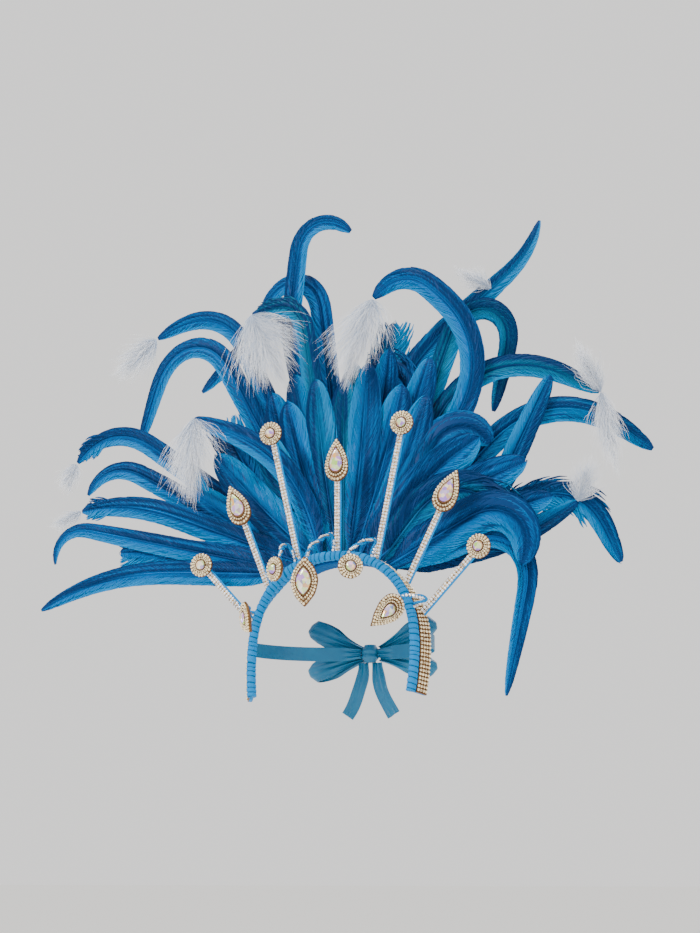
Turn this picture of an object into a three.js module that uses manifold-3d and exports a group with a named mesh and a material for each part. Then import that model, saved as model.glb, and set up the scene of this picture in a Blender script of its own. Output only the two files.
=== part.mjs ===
// Showgirl feather headdress, in millimetres, +Z up, the wearer facing -Y.
// The origin is where the arch rests on the top of the head, at the middle of its inner side.
// A ribbon-wrapped wire arch carries rhinestone trim, seven rhinestone stalks with a jewel each,
// five forehead jewels on goose-neck arms, and a pad behind it on which six fans of curled
// cock feathers are bound. White marabou puffs hang from feather tips, and ribbon ties with
// a double bow close the frame behind the head.

import * as THREE from "three";
import { mergeVertices } from "three/addons/utils/BufferGeometryUtils.js";
import Module from "manifold-3d";

const wasm = await Module();
wasm.setup();

// Clearance left between pieces that touch on the real headdress.
const seatGap = 0.3;

// Arch: a superellipse over the head with a straight leg at each ear.
const archHalfWidth = 96;
const archRise = 110;
const archLeg = 43;
const archSquareness = 2.3;
const legTaper = 3;
const legForward = 10;
const rollRadius = 5;
const rollSides = 8;
const bandWidth = 16;
const bandThickness = 3.5;
const bandFlare = 30;
const flareFrom = 0.36;
const flareFull = 0.75;
const archSteps = 28;

// Rhinestone trim on the band's outer face, two rows of cups wide.
const trimWidth = 15;
const trimHeight = 2.6;

// Rhinestone chain of the stalks.
const stalkWidth = 8.5;
const stalkThickness = 3.6;

// Jewels: overall length, width and height of each kind, its stone being a share of them.
const roundSize = 27;
const dropLength = 50;
const dropWidth = 28;
const marquiseLength = 54;
const marquiseWidth = 31;
const jewelHeight = 6;
const stoneShare = 0.58;
const stoneRise = 3;
const bezelShare = 0.04;
const pocketShare = 0.55;
const jewelSides = 12;

// Goose-neck arms of the forehead jewels.
const armRadius = 2.7;
const armSides = 6;
const armSteps = 8;
const armRise = 16;
const armForward = 0.45;
const armBow = 5.6;
const armStandOff = 2;

// Pad behind the arch, on which the quills are bound in three rows.
const rootHalfSpan = 58;
const padMargin = 6;
const padHalfWidth = rootHalfSpan + padMargin;
const padDepth = 30;
const padThickness = 4;
const padSteps = 18;
const bindingHeight = 6;
const bindingThickness = 3;
const bindingMargin = 4;
const bindingSteps = 8;

// Feathers.
const featherLength = 400;
const vaneWidth = 24;
const vaneThickness = 2;
const vaneCup = 0.1;
const vaneFullAt = 0.2;
const vaneRoundness = 0.6;
const quillWidth = 3.2;
const quillTaper = 0.9;
const curledSteps = 11;
const straightSteps = 6;
const straightBend = 24;
const hookFrom = 0.8;

// Marabou puffs.
const puffLength = 100;
const puffWidth = 50;
const puffThickness = 14;
const puffSides = 10;
const puffStandOff = 0.7;
const puffForward = 1.0;

// Ribbon ties and bow behind the head.
const ribbonWidth = 16;
const ribbonThickness = 1.4;
const tieHeight = -92;
const tiePlace = 0.97;
const tieSteps = 12;
const headBack = 110;
const loopSetBack = 6;
const loopSpread = 6;
const loopLength = 68;
const loopRibbonWidth = 26;
const knotWidth = 20;
const knotDepth = 18;
const knotHeight = 20;
const loopPuff = 9;
const loopUpperRise = 26;
const loopLowerFall = 14;
const loopSteps = 11;
const tailLength = 60;
const tailSpread = 20;

const ribbonBlue = new THREE.MeshStandardMaterial({ color: 0x1f97dc, roughness: 0.45, metalness: 0 });
const bowTeal = new THREE.MeshStandardMaterial({ color: 0x0d6f8c, roughness: 0.4, metalness: 0 });
const featherBlue = new THREE.MeshStandardMaterial({ color: 0x0b63ad, roughness: 0.6, metalness: 0 });
const marabouWhite = new THREE.MeshStandardMaterial({ color: 0xe9eef6, roughness: 0.9, metalness: 0 });
const settingMetal = new THREE.MeshStandardMaterial({ color: 0xd9cba6, roughness: 0.3, metalness: 0.9 });
const stoneGlass = new THREE.MeshStandardMaterial({ color: 0xe9dff0, roughness: 0.05, metalness: 0.1 });

const headdress = new THREE.Group();
const upward = new THREE.Vector3(0, 0, 1);
const backward = new THREE.Vector3(0, 1, 0);
const forward = new THREE.Vector3(0, -1, 0);
const radians = THREE.MathUtils.degToRad;

// Smooth step from 0 to 1 over the range from low to high.
function ease(value, low, high) {
  return THREE.MathUtils.smoothstep(value, low, high);
}

function unit(x, y, z) {
  return new THREE.Vector3(x, y, z).normalize();
}

// Point reached from a start by steps, each a direction and a distance.
function offset(start, ...steps) {
  const point = start.clone();
  for (const [direction, distance] of steps) {
    point.addScaledVector(direction, distance);
  }
  return point;
}

// Closed geometry from points and triangles, turned so that its faces point outwards.
function closedGeometry(points, faces) {
  const volume = faces.reduce((sum, [a, b, c]) => {
    const normal = points[b].clone().cross(points[c]);
    return sum + points[a].dot(normal);
  }, 0);
  const turned = volume < 0 ? faces.map(([a, b, c]) => [a, c, b]) : faces;
  const geometry = new THREE.BufferGeometry();
  geometry.setAttribute(
    "position",
    new THREE.Float32BufferAttribute(points.flatMap((point) => point.toArray()), 3),
  );
  geometry.setIndex(turned.flat());
  return geometry;
}

// Closed loft through rings of equal count, with each end closed by the outline's own triangles.
function loft(rings, outline) {
  const count = rings[0].length;
  const points = rings.flat();
  const faces = [];
  for (let ring = 0; ring < rings.length - 1; ring += 1) {
    for (let side = 0; side < count; side += 1) {
      const next = (side + 1) % count;
      const here = ring * count;
      const there = here + count;
      faces.push([here + side, here + next, there + next]);
      faces.push([here + side, there + next, there + side]);
    }
  }
  const last = (rings.length - 1) * count;
  const contour = outline.map(([a, b]) => new THREE.Vector2(a, b));
  const clockwise = THREE.ShapeUtils.isClockWise(contour);
  for (const [a, b, c] of THREE.ShapeUtils.triangulateShape(contour, [])) {
    faces.push(clockwise ? [a, b, c] : [a, c, b]);
    faces.push(clockwise ? [last + a, last + c, last + b] : [last + a, last + b, last + c]);
  }
  return closedGeometry(points, faces);
}

// Sweep of one outline along frames, each with a point and the outline's two directions.
function sweep(frames, outline) {
  const rings = frames.map(({ point, across, up }) =>
    outline.map(([a, b]) => offset(point, [across, a], [up, b])),
  );
  return loft(rings, outline);
}

function solid(geometry) {
  const bare = geometry.clone();
  bare.deleteAttribute("normal");
  bare.deleteAttribute("uv");
  const merged = mergeVertices(bare, 1e-4);
  return new wasm.Manifold(
    new wasm.Mesh({
      numProp: 3,
      vertProperties: new Float32Array(merged.attributes.position.array),
      triVerts: new Uint32Array(merged.index.array),
    }),
  );
}

function fuse(geometries) {
  const joined = geometries.map(solid).reduce((whole, piece) => whole.add(piece));
  const mesh = joined.getMesh();
  const geometry = new THREE.BufferGeometry();
  geometry.setAttribute("position", new THREE.BufferAttribute(new Float32Array(mesh.vertProperties), 3));
  geometry.setIndex(new THREE.BufferAttribute(new Uint32Array(mesh.triVerts), 1));
  return geometry;
}

function place(name, geometry, material, parent = headdress) {
  const shown = geometry.index ? geometry.toNonIndexed() : geometry;
  shown.computeVertexNormals();
  const mesh = new THREE.Mesh(shown, material);
  mesh.name = name;
  parent.add(mesh);
  return mesh;
}

// Frames along a path of points, carried from one to the next without twist.
function pathFrames(points, firstAcross) {
  const tangents = points.map((point, i) => {
    const before = points[Math.max(i - 1, 0)];
    const after = points[Math.min(i + 1, points.length - 1)];
    return after.clone().sub(before).normalize();
  });
  let across = firstAcross.clone();
  return points.map((point, i) => {
    across = offset(across, [tangents[i], -across.dot(tangents[i])]).normalize();
    return { point, across, up: tangents[i].clone().cross(across) };
  });
}

// Smooth curve through a few chosen points, as evenly spaced points.
function smoothPath(points, steps) {
  return new THREE.CatmullRomCurve3(points, false, "centripetal").getSpacedPoints(steps);
}

// Arch centre line: place runs from -1 at the wearer's right ear over the crown to 1.
const crownHeight = rollRadius;
const legShare = 0.2;

function archPoint(where) {
  const side = Math.sign(where);
  const along = Math.abs(where);
  const power = 2 / archSquareness;
  const turn = (Math.min(along / (1 - legShare), 1) * Math.PI) / 2;
  const leg = Math.max(along - (1 - legShare), 0) / legShare;
  const x = archHalfWidth * Math.sin(turn) ** power - legTaper * leg * leg;
  const fallen = archRise * (1 - Math.max(Math.cos(turn), 0) ** power) + archLeg * leg;
  const y = -legForward * (fallen / (archRise + archLeg)) ** 2;
  return new THREE.Vector3(side * x, y, crownHeight - fallen);
}

// Frame of the arch: along it, outward from the head, and backward.
function archFrame(where) {
  const step = 0.002;
  const ahead = archPoint(Math.min(where + step, 1));
  const behind = archPoint(Math.max(where - step, -1));
  const along = ahead.sub(behind).normalize();
  const outward = along.clone().cross(backward).normalize();
  const back = outward.clone().cross(along);
  return { point: archPoint(where), along, outward, back };
}

// Frame of the band behind the roll, which turns outward from the crown to the ears.
function bandFrame(where) {
  const { point, outward, back } = archFrame(where);
  const flare = radians(bandFlare) * ease(Math.abs(where), flareFrom, flareFull);
  const across = offset(new THREE.Vector3(), [back, Math.cos(flare)], [outward, Math.sin(flare)]);
  const up = offset(new THREE.Vector3(), [outward, Math.cos(flare)], [back, -Math.sin(flare)]);
  return { point, across, up };
}

// Place on the arch whose centre line has the given share of its half width, to one side.
function archPlace(share) {
  const turn = Math.asin(Math.abs(share) ** (archSquareness / 2));
  return (Math.sign(share) * (turn / (Math.PI / 2))) * (1 - legShare);
}

// Places along the arch from low to high, evenly spaced.
function archRun(low, high, steps) {
  return Array.from({ length: steps + 1 }, (_, i) => low + ((high - low) * i) / steps);
}

function buildArch() {
  const open = Math.asin(bandThickness / 2 / rollRadius);
  const outline = Array.from({ length: rollSides }, (_, i) => {
    const angle = open + ((2 * Math.PI - 2 * open) * i) / (rollSides - 1);
    return [rollRadius * Math.cos(angle), rollRadius * Math.sin(angle)];
  });
  outline.push([rollRadius + bandWidth, -bandThickness / 2]);
  outline.push([rollRadius + bandWidth, bandThickness / 2]);
  place("arch", sweep(archRun(-1, 1, archSteps).map(bandFrame), outline), ribbonBlue);
}

function buildTrim() {
  const inner = rollRadius + seatGap;
  const base = bandThickness / 2 + seatGap;
  const profile = [
    [1, 0],
    [0, 0],
    [0, 0.45],
    [0.25, 1],
    [0.5, 0.6],
    [0.75, 1],
    [1, 0.45],
  ];
  const outline = profile.map(([a, b]) => [inner + a * trimWidth, base + b * trimHeight]);
  place("rhinestone_trim", sweep(archRun(-1, 1, archSteps).map(bandFrame), outline), settingMetal);
}

// How far each kind's outline swells sideways from an ellipse, by angle from its tip.
// A drop swells towards its round end, whose widest place dropSwell brings to the full width.
const dropSwell = 0.77;
const marquiseSwell = 0.8;
const jewelForms = {
  round: () => 1,
  drop: (angle) => Math.sin(angle / 2) / dropSwell,
  marquise: (angle) => Math.abs(Math.sin(angle)) ** marquiseSwell,
};

function jewelOutline(form, length, width) {
  return Array.from({ length: jewelSides }, (_, i) => {
    const angle = (2 * Math.PI * i) / jewelSides;
    const swell = jewelForms[form](angle);
    return [(width / 2) * Math.sin(angle) * swell, (length / 2) * Math.cos(angle)];
  });
}

// Loft of a jewel outline through rows of scale and height.
function jewelLoft(outline, rows) {
  const rings = rows.map(([scale, height]) =>
    outline.map(([a, b]) => new THREE.Vector3(a * scale, b * scale, height)),
  );
  return loft(rings, outline);
}

// One jewel: a stepped setting with a pocket and a cut stone with a table in it.
// Its back lies at the centre point, its face looks along facing and its tip along tip.
function addJewel(name, form, length, width, centre, facing, tip) {
  const outline = jewelOutline(form, length, width);
  const clear = (2 * seatGap) / Math.min(length, width);
  const pocketFloor = pocketShare * jewelHeight;
  const setting = jewelLoft(outline, [
    [0.95, 0],
    [1, 0.35 * jewelHeight],
    [0.92, 0.7 * jewelHeight],
    [stoneShare + bezelShare, jewelHeight],
    [stoneShare - bezelShare, pocketFloor],
  ]);
  const stone = jewelLoft(outline, [
    [stoneShare - 1.5 * bezelShare - clear, pocketFloor + seatGap],
    [stoneShare - clear, jewelHeight],
    [0.55 * stoneShare, jewelHeight + stoneRise],
  ]);
  const group = new THREE.Group();
  const right = tip.clone().cross(facing);
  group.quaternion.setFromRotationMatrix(new THREE.Matrix4().makeBasis(right, tip, facing));
  group.position.copy(centre);
  place(name + "_setting", setting, settingMetal, group);
  place(name + "_stone", stone, stoneGlass, group);
  headdress.add(group);
}

const jewelSizes = {
  round: [roundSize, roundSize],
  drop: [dropLength, dropWidth],
  marquise: [marquiseLength, marquiseWidth],
};

// Stalks: foot as a share of the arch's half width, jewel centre's reach and lean outward in degrees.
const stalkRows = [
  { name: "center", foot: 0, reach: 105, lean: 0, form: "drop" },
  { name: "inner_left", foot: -0.46, reach: 155, lean: -13, form: "round" },
  { name: "inner_right", foot: 0.46, reach: 153, lean: 12, form: "round" },
  { name: "middle_left", foot: -0.8, reach: 108, lean: -22, form: "drop" },
  { name: "middle_right", foot: 0.8, reach: 110, lean: 27, form: "drop" },
  { name: "outer_left", foot: -0.955, reach: 92, lean: -43, form: "round" },
  { name: "outer_right", foot: 0.955, reach: 95, lean: 44, form: "round" },
];

function buildStalk({ name, foot, reach, lean, form }) {
  const { point, across, up } = bandFrame(archPlace(foot));
  const standOff = bandThickness / 2 + trimHeight + 2 * seatGap;
  const start = offset(point, [across, rollRadius + trimWidth / 2], [up, standOff]);
  const along = unit(Math.sin(radians(lean)), 0, Math.cos(radians(lean)));
  const side = along.clone().cross(forward);
  const profile = [
    [-0.5, -0.5],
    [0.5, -0.5],
    [0.5, 0.1],
    [0.25, 0.5],
    [0, 0.2],
    [-0.25, 0.5],
    [-0.5, 0.1],
  ];
  const outline = profile.map(([a, b]) => [a * stalkWidth, b * stalkThickness]);
  // The foot is cut to lie flat on the trim, the top square across behind the jewel.
  const low = outline.map(([a, b]) => {
    const corner = offset(new THREE.Vector3(), [side, a], [forward, b]);
    return offset(start, [corner, 1], [along, -corner.dot(up) / along.dot(up)]);
  });
  const top = offset(start, [along, reach]);
  const high = outline.map(([a, b]) => offset(top, [side, a], [forward, b]));
  place("stalk_" + name, loft([low, high], outline), settingMetal);
  const [length, width] = jewelSizes[form];
  const centre = offset(top, [forward, stalkThickness / 2 + seatGap]);
  addJewel("jewel_" + name, form, length, width, centre, forward, along);
}

// Forehead jewels: where the arm stands on the arch, the jewel's centre, how far its face turns
// outward, how far its upper end tips from upright, and the points that the arm passes.
const foreheadRows = [
  { name: "middle", foot: 0, form: "marquise", centre: [0, -79, -35], turn: 0, tip: 0 },
  { name: "left", foot: -0.44, form: "round", centre: [-43, -58, -16], turn: -30, tip: 0 },
  { name: "right", foot: 0.44, form: "round", centre: [43, -58, -18], turn: 30, tip: 0 },
  { name: "temple_left", foot: -0.93, form: "drop", centre: [-80, -50, -68], turn: -50, tip: -50 },
  { name: "temple_right", foot: 0.93, form: "drop", centre: [80, -50, -68], turn: 50, tip: 50 },
];

function buildForehead({ name, foot, form, centre, turn, tip }) {
  const [length, width] = jewelSizes[form];
  const facing = unit(Math.sin(radians(turn)), -Math.cos(radians(turn)), 0);
  const sideways = upward.clone().cross(facing).multiplyScalar(-1);
  // The jewel hangs from the end that points back up the arm.
  const upper = offset(
    new THREE.Vector3(),
    [upward, Math.cos(radians(tip))],
    [sideways, -Math.sin(radians(tip))],
  );
  const middle = new THREE.Vector3(...centre);
  const seat = offset(middle, [facing, -(armRadius + seatGap)]);
  const { point, outward } = archFrame(archPlace(foot));
  const start = offset(point, [outward, rollRadius + seatGap]);
  const end = offset(seat, [upper, 0.1 * length]);
  const reached = offset(seat, [upper, 0.5 * length + armRadius], [facing, -armStandOff]);
  const knee = offset(start, [outward, armRise], [forward, 0.25 * armRise]);
  const bridge = knee.clone().lerp(reached, armForward);
  bridge.addScaledVector(outward, armBow);
  const points = smoothPath([start, knee, bridge, reached, end], armSteps);
  const outline = Array.from({ length: armSides }, (_, i) => {
    const angle = (2 * Math.PI * i) / armSides;
    return [armRadius * Math.cos(angle), armRadius * Math.sin(angle)];
  });
  place("arm_" + name, sweep(pathFrames(points, sideways), outline), ribbonBlue);
  addJewel("forehead_" + name, form, length, width, middle, facing, upper.multiplyScalar(-1));
}

// Pad: a crescent on the head behind the band, following the arch.
function padFrame(where) {
  const { point, outward } = archFrame(where);
  return { point: offset(point, [outward, -rollRadius]), across: backward, up: outward };
}

function buildPad() {
  const edge = archPlace(padHalfWidth / archHalfWidth);
  const front = rollRadius + bandWidth + seatGap;
  const outline = [
    [front, 0],
    [front + padDepth, 0],
    [front + padDepth, padThickness],
    [front, padThickness],
  ];
  place("feather_pad", sweep(archRun(-edge, edge, padSteps).map(padFrame), outline), ribbonBlue);
}

// Tiers of feathers: how far behind the arch's centre each is bound.
const tierDepths = {
  front_left: 24,
  front_right: 24,
  front_center: 30,
  back_center: 36,
  back_left: 44,
  back_right: 44,
};

// Feathers, one row each. root is the place along its binding, as a share of half its span.
// aim is the quill's direction from upright and bend the turn that follows, centred at the
// share crest of the length and spread over twice the share spread, both in degrees towards +X.
// hook is a further turn at the tip, lean the tilt backward and roll the turn of the vane.
// reach and width are shares of the feather's length and vane width, taper how late it narrows.
const featherColumns = [
  "tier", "root", "aim", "bend", "crest", "spread", "hook", "lean", "roll", "reach", "width", "taper",
];
const featherRows = [
  ["front_left", -1.0, -85, -34, 0.75, 0.4, 0, 3, 0, 0.86, 1.0, 3],
  ["front_left", -0.92, -76, -130, 0.92, 0.15, 0, 5, 10, 0.92, 0.9, 3],
  ["front_left", -0.88, -77, -10, 0.6, 0.4, 0, 6, -10, 0.62, 1.1, 6],
  ["front_left", -0.8, -80, -6, 0.6, 0.4, 0, 8, 12, 0.5, 1.3, 4],
  ["front_left", -0.7, -68, -30, 0.8, 0.3, 0, 7, 0, 0.84, 1.0, 4],
  ["front_left", -0.62, -62, 8, 0.6, 0.4, 0, 9, -8, 0.52, 1.4, 4],
  ["front_left", -0.5, -48, 6, 0.6, 0.4, 0, 8, 8, 0.5, 1.5, 4],
  ["front_left", -0.4, -19, -48, 0.48, 0.42, 0, 6, 14, 0.68, 0.95, 4],
  ["front_center", -0.3, -36, 10, 0.5, 0.5, 0, 7, 0, 0.48, 1.5, 4],
  ["front_center", -0.22, -24, 8, 0.5, 0.5, 0, 8, 8, 0.52, 1.5, 4],
  ["front_center", -0.12, -13, 4, 0.5, 0.5, 0, 8, -8, 0.56, 1.5, 4],
  ["front_center", 0.0, -4, 2, 0.5, 0.5, 0, 8, 6, 0.54, 1.5, 4],
  ["front_center", 0.1, 5, -4, 0.5, 0.5, 0, 7, -6, 0.58, 1.5, 4],
  ["front_center", 0.22, 16, -6, 0.5, 0.5, 0, 8, 8, 0.52, 1.6, 4],
  ["front_center", 0.32, 26, -10, 0.5, 0.5, 0, 7, -10, 0.5, 1.6, 4],
  ["front_right", 0.5, 36, 20, 0.6, 0.4, 0, 6, 8, 0.46, 1.7, 4],
  ["front_right", 0.62, 27, 125, 0.82, 0.22, 0, 8, -8, 0.56, 1.6, 5],
  ["front_right", 0.7, 50, 20, 0.6, 0.4, 0, 6, 0, 0.5, 1.6, 4],
  ["front_right", 0.78, 38, 125, 0.62, 0.36, 0, 4, 10, 0.52, 1.6, 4],
  ["front_right", 0.86, 66, 10, 0.6, 0.4, 0, 7, -6, 0.5, 1.4, 4],
  ["front_right", 0.92, 62, 140, 0.74, 0.3, 0, 2, 0, 0.54, 1.6, 4],
  ["front_right", 1.0, 72, 122, 0.46, 0.2, 0, 5, 0, 0.79, 0.95, 2],
  ["back_center", -0.34, -27, 8, 0.5, 0.5, 0, 9, 0, 0.58, 1.4, 5],
  ["back_center", -0.24, -18, 4, 0.5, 0.5, 0, 8, 0, 0.6, 1.4, 5],
  ["back_center", -0.16, -12, -84, 0.84, 0.1, 0, 8, 0, 0.97, 0.85, 6],
  ["back_center", -0.1, -17, 19, 0.6, 0.1, 128, 9, 0, 1.25, 0.85, 8],
  ["back_center", 0.0, -3, 3, 0.5, 0.5, 0, 9, 0, 0.6, 1.4, 5],
  ["back_center", 0.16, 8, -4, 0.5, 0.5, 0, 10, 0, 0.64, 1.3, 5],
  ["back_center", 0.28, 20, -6, 0.5, 0.5, 0, 9, 0, 0.62, 1.4, 5],
  ["back_left", -0.74, -61, -100, 0.9, 0.18, 0, 9, 10, 0.95, 0.9, 5],
  ["back_left", -0.64, -55, -95, 0.88, 0.22, 0, 10, -10, 1.08, 0.9, 5],
  ["back_left", -0.5, -44, 14, 0.6, 0.4, 0, 8, 8, 0.6, 1.3, 4],
  ["back_left", -0.4, -31, -126, 0.71, 0.16, 0, 9, 12, 1.3, 0.95, 5],
  ["back_left", -0.3, -27, -82, 0.8, 0.18, 0, 11, -12, 1.2, 0.9, 5],
  ["back_left", -0.2, -15, -112, 0.7, 0.12, 0, 9, 10, 1.14, 0.95, 5],
  ["back_left", 0.0, -11, -150, 0.82, 0.16, 0, 11, 12, 1.2, 0.9, 6],
  ["back_right", 0.14, 2, 4, 0.5, 0.5, 0, 14, 0, 0.76, 1.2, 7],
  ["back_right", 0.26, 32, -65, 0.52, 0.25, -60, 10, 10, 0.74, 1.4, 4],
  ["back_right", 0.34, 33, -80, 0.58, 0.25, -84, 7, -10, 1.16, 1.05, 7],
  ["back_right", 0.4, 2, 45, 0.45, 0.25, -32, 12, 0, 1.2, 1.25, 2.4],
  ["back_right", 0.5, 16, 182, 0.72, 0.14, 0, 11, 12, 1.19, 0.9, 6],
  ["back_right", 0.56, 21, 100, 0.66, 0.3, 0, 9, -10, 0.99, 1.0, 5],
  ["back_right", 0.66, 42, 88, 0.68, 0.28, 0, 9, 0, 0.97, 1.05, 4],
  ["back_right", 0.74, 66, -42, 0.42, 0.25, 0, 7, 10, 0.74, 0.95, 5],
  ["back_right", 0.82, 66, 92, 0.7, 0.2, 0, 8, -8, 0.79, 0.95, 5],
  ["back_right", 0.9, 80, -20, 0.6, 0.3, 0, 8, 0, 0.55, 0.9, 4],
];
const feathers = featherRows.map((row) =>
  Object.fromEntries(featherColumns.map((column, i) => [column, row[i]])),
);

// A nearly straight feather needs fewer steps than a curled one.
function stepCount(feather) {
  return Math.abs(feather.bend) + Math.abs(feather.hook) < straightBend ? straightSteps : curledSteps;
}

// Spine of a feather: steps of equal length whose heading turns with the share of the length.
function spine(feather) {
  const count = stepCount(feather);
  const where = archPlace((feather.root * rootHalfSpan) / archHalfWidth);
  const { point, up } = padFrame(where);
  const start = offset(point, [up, padThickness + seatGap + 0.5 * bindingHeight]);
  start.y = tierDepths[feather.tier];
  const step = (feather.reach * featherLength) / count;
  const lean = radians(feather.lean);
  const points = [start];
  for (let i = 0; i < count; i += 1) {
    const share = (i + 0.5) / count;
    const turn = ease(share, feather.crest - feather.spread, feather.crest + feather.spread);
    const hook = feather.hook * ease(share, hookFrom, 1);
    const heading = radians(feather.aim + feather.bend * turn + hook);
    const direction = unit(
      Math.cos(lean) * Math.sin(heading),
      Math.sin(lean),
      Math.cos(lean) * Math.cos(heading),
    );
    points.push(offset(points[i], [direction, step]));
  }
  return points;
}

// Half width of the vane at a share of the length: a bare quill, a rise and a rounded taper.
function vaneHalfWidth(feather, share) {
  const rise = ease(share, -0.2 * vaneFullAt, vaneFullAt);
  const fall = Math.max(1 - share ** feather.taper, 0) ** vaneRoundness;
  const full = (feather.width * vaneWidth) / 2;
  return Math.max(full * rise * fall, quillWidth / 2 - quillTaper * share);
}

function featherGeometry(feather) {
  const points = spine(feather);
  const roll = radians(feather.roll);
  const frames = pathFrames(points, new THREE.Vector3(1, 0, 0));
  const rings = frames.map(({ point, across, up }, i) => {
    const share = i / stepCount(feather);
    const along = up.clone().cross(across).multiplyScalar(-1);
    const flat = backward.clone().cross(along).normalize();
    const face = along.clone().cross(flat);
    const wide = offset(new THREE.Vector3(), [flat, Math.cos(roll * share)], [face, Math.sin(roll * share)]);
    const thick = along.clone().cross(wide);
    const half = vaneHalfWidth(feather, share);
    const depth = (vaneThickness / 2) * (1 - 0.5 * share);
    return [
      offset(point, [wide, -half], [thick, vaneCup * half]),
      offset(point, [thick, -depth]),
      offset(point, [wide, half], [thick, vaneCup * half]),
      offset(point, [thick, depth]),
    ];
  });
  return loft(rings, [[-1, 0], [0, -1], [1, 0], [0, 1]]);
}

// Binding: the sewn strip that holds a tier's quills, standing on the pad.
function bindingGeometry(tier, members) {
  const roots = members.map((feather) => feather.root * rootHalfSpan);
  const low = archPlace((Math.min(...roots) - bindingMargin) / archHalfWidth);
  const high = archPlace((Math.max(...roots) + bindingMargin) / archHalfWidth);
  const depth = tierDepths[tier];
  const base = padThickness + seatGap;
  const outline = [
    [depth - bindingThickness / 2, base],
    [depth + bindingThickness / 2, base],
    [depth + bindingThickness / 2, base + bindingHeight],
    [depth - bindingThickness / 2, base + bindingHeight],
  ];
  return sweep(archRun(low, high, bindingSteps).map(padFrame), outline);
}

function buildTier(tier) {
  const members = feathers.filter((feather) => feather.tier === tier);
  const pieces = [bindingGeometry(tier, members), ...members.map(featherGeometry)];
  place("plume_" + tier, fuse(pieces), featherBlue);
}

// Marabou puffs, each hung from a feather tip: host is the feather's place in its tier, and fall
// and toward the hanging direction from upright and forward. Sizes are shares of the puff's.
const puffRows = [
  { name: "left_low", tier: "back_left", host: 1, fall: -160, toward: 14, length: 0.35, width: 0.5 },
  { name: "left_tip", tier: "back_left", host: 4, fall: -112, toward: 6, length: 0.5, width: 0.5 },
  { name: "left_fan", tier: "front_left", host: 7, fall: 168, toward: 28, length: 1.1, width: 1.2 },
  { name: "upper_left", tier: "back_center", host: 2, fall: 150, toward: 27, length: 0.95, width: 1.5 },
  { name: "crown_fan", tier: "back_right", host: 2, fall: -176, toward: 33, length: 1.2, width: 1.3 },
  { name: "right_top", tier: "back_right", host: 5, fall: -20, toward: 32, length: 0.55, width: 0.6 },
  { name: "right_curtain", tier: "back_right", host: 5, fall: 163, toward: 36, length: 1.2, width: 0.6 },
  { name: "right_low", tier: "back_right", host: 9, fall: 24, toward: 12, length: 0.45, width: 0.8 },
];

function buildPuff({ name, tier, host, fall, toward, length, width }) {
  const feather = feathers.filter((candidate) => candidate.tier === tier)[host];
  const points = spine(feather);
  const tip = points[points.length - 1];
  const heading = radians(fall);
  const forwardTilt = radians(toward);
  const along = unit(
    Math.cos(forwardTilt) * Math.sin(heading),
    -Math.sin(forwardTilt),
    Math.cos(forwardTilt) * Math.cos(heading),
  );
  const wide = backward.clone().cross(along).normalize();
  const thick = along.clone().cross(wide);
  const rows = [
    [0, 0.06, 0.12, 0],
    [0.4, 0.6, 0.8, 0],
    [1, 1, 1, 0.26],
  ];
  const start = offset(tip, [along, puffStandOff], [forward, puffForward]);
  const rings = rows.map(([share, spreadOut, thickness, ragged]) =>
    Array.from({ length: puffSides }, (_, i) => {
      const angle = (2 * Math.PI * i) / puffSides;
      const reach = share * length * puffLength * (1 - (i % 2) * ragged);
      const sideways = (width * puffWidth * spreadOut * Math.cos(angle)) / 2;
      const depth = (puffThickness * thickness * Math.sin(angle)) / 2;
      return offset(start, [along, reach], [wide, sideways], [thick, depth]);
    }),
  );
  const outline = Array.from({ length: puffSides }, (_, i) => {
    const angle = (2 * Math.PI * i) / puffSides;
    return [Math.cos(angle), Math.sin(angle)];
  });
  place("puff_" + name, loft(rings, outline), marabouWhite);
}

// Ties: a flat ribbon from each side of the band round the back of the head to the knot.
function ribbonStrip(points, widths) {
  const frames = pathFrames(points, upward);
  const outline = [[-1, -1], [1, -1], [1, 1], [-1, 1]];
  const rings = frames.map(({ point, across, up }, i) =>
    outline.map(([a, b]) =>
      offset(point, [across, (a * widths[i]) / 2], [up, (b * ribbonThickness) / 2]),
    ),
  );
  return loft(rings, outline);
}

function buildTie(name, side) {
  const where = side * (1 - legShare) * tiePlace;
  const { point, across } = bandFrame(where);
  const start = offset(point, [across, rollRadius + bandWidth + seatGap + ribbonThickness / 2]);
  const startX = Math.abs(start.x);
  const endX = knotWidth / 2 + seatGap;
  const last = Math.acos(endX / startX);
  const points = Array.from({ length: tieSteps + 1 }, (_, i) => {
    const turn = (last * i) / tieSteps;
    const y = start.y + (headBack - loopSetBack / 2 - start.y) * (Math.sin(turn) / Math.sin(last));
    return new THREE.Vector3(side * startX * Math.cos(turn), y, tieHeight);
  });
  place(name, ribbonStrip(points, points.map(() => ribbonWidth)), ribbonBlue);
}

// Knot: a crushed turn of ribbon, narrower at its top and bottom.
function buildKnot() {
  const sides = 8;
  const outline = Array.from({ length: sides }, (_, i) => {
    const angle = (2 * Math.PI * (i + 0.5)) / sides;
    const round = Math.cos(Math.PI / sides);
    return [Math.cos(angle) / round, Math.sin(angle) / round];
  });
  const rows = [
    [-0.5, 0.7],
    [-0.2, 1],
    [0.2, 1],
    [0.5, 0.7],
  ];
  const rings = rows.map(([height, scale]) =>
    outline.map(
      ([a, b]) =>
        new THREE.Vector3(
          (a * scale * knotWidth) / 2,
          headBack + (b * scale * knotDepth) / 2,
          tieHeight + height * knotHeight,
        ),
    ),
  );
  place("bow_knot", loft(rings, outline), bowTeal);
}

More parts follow.
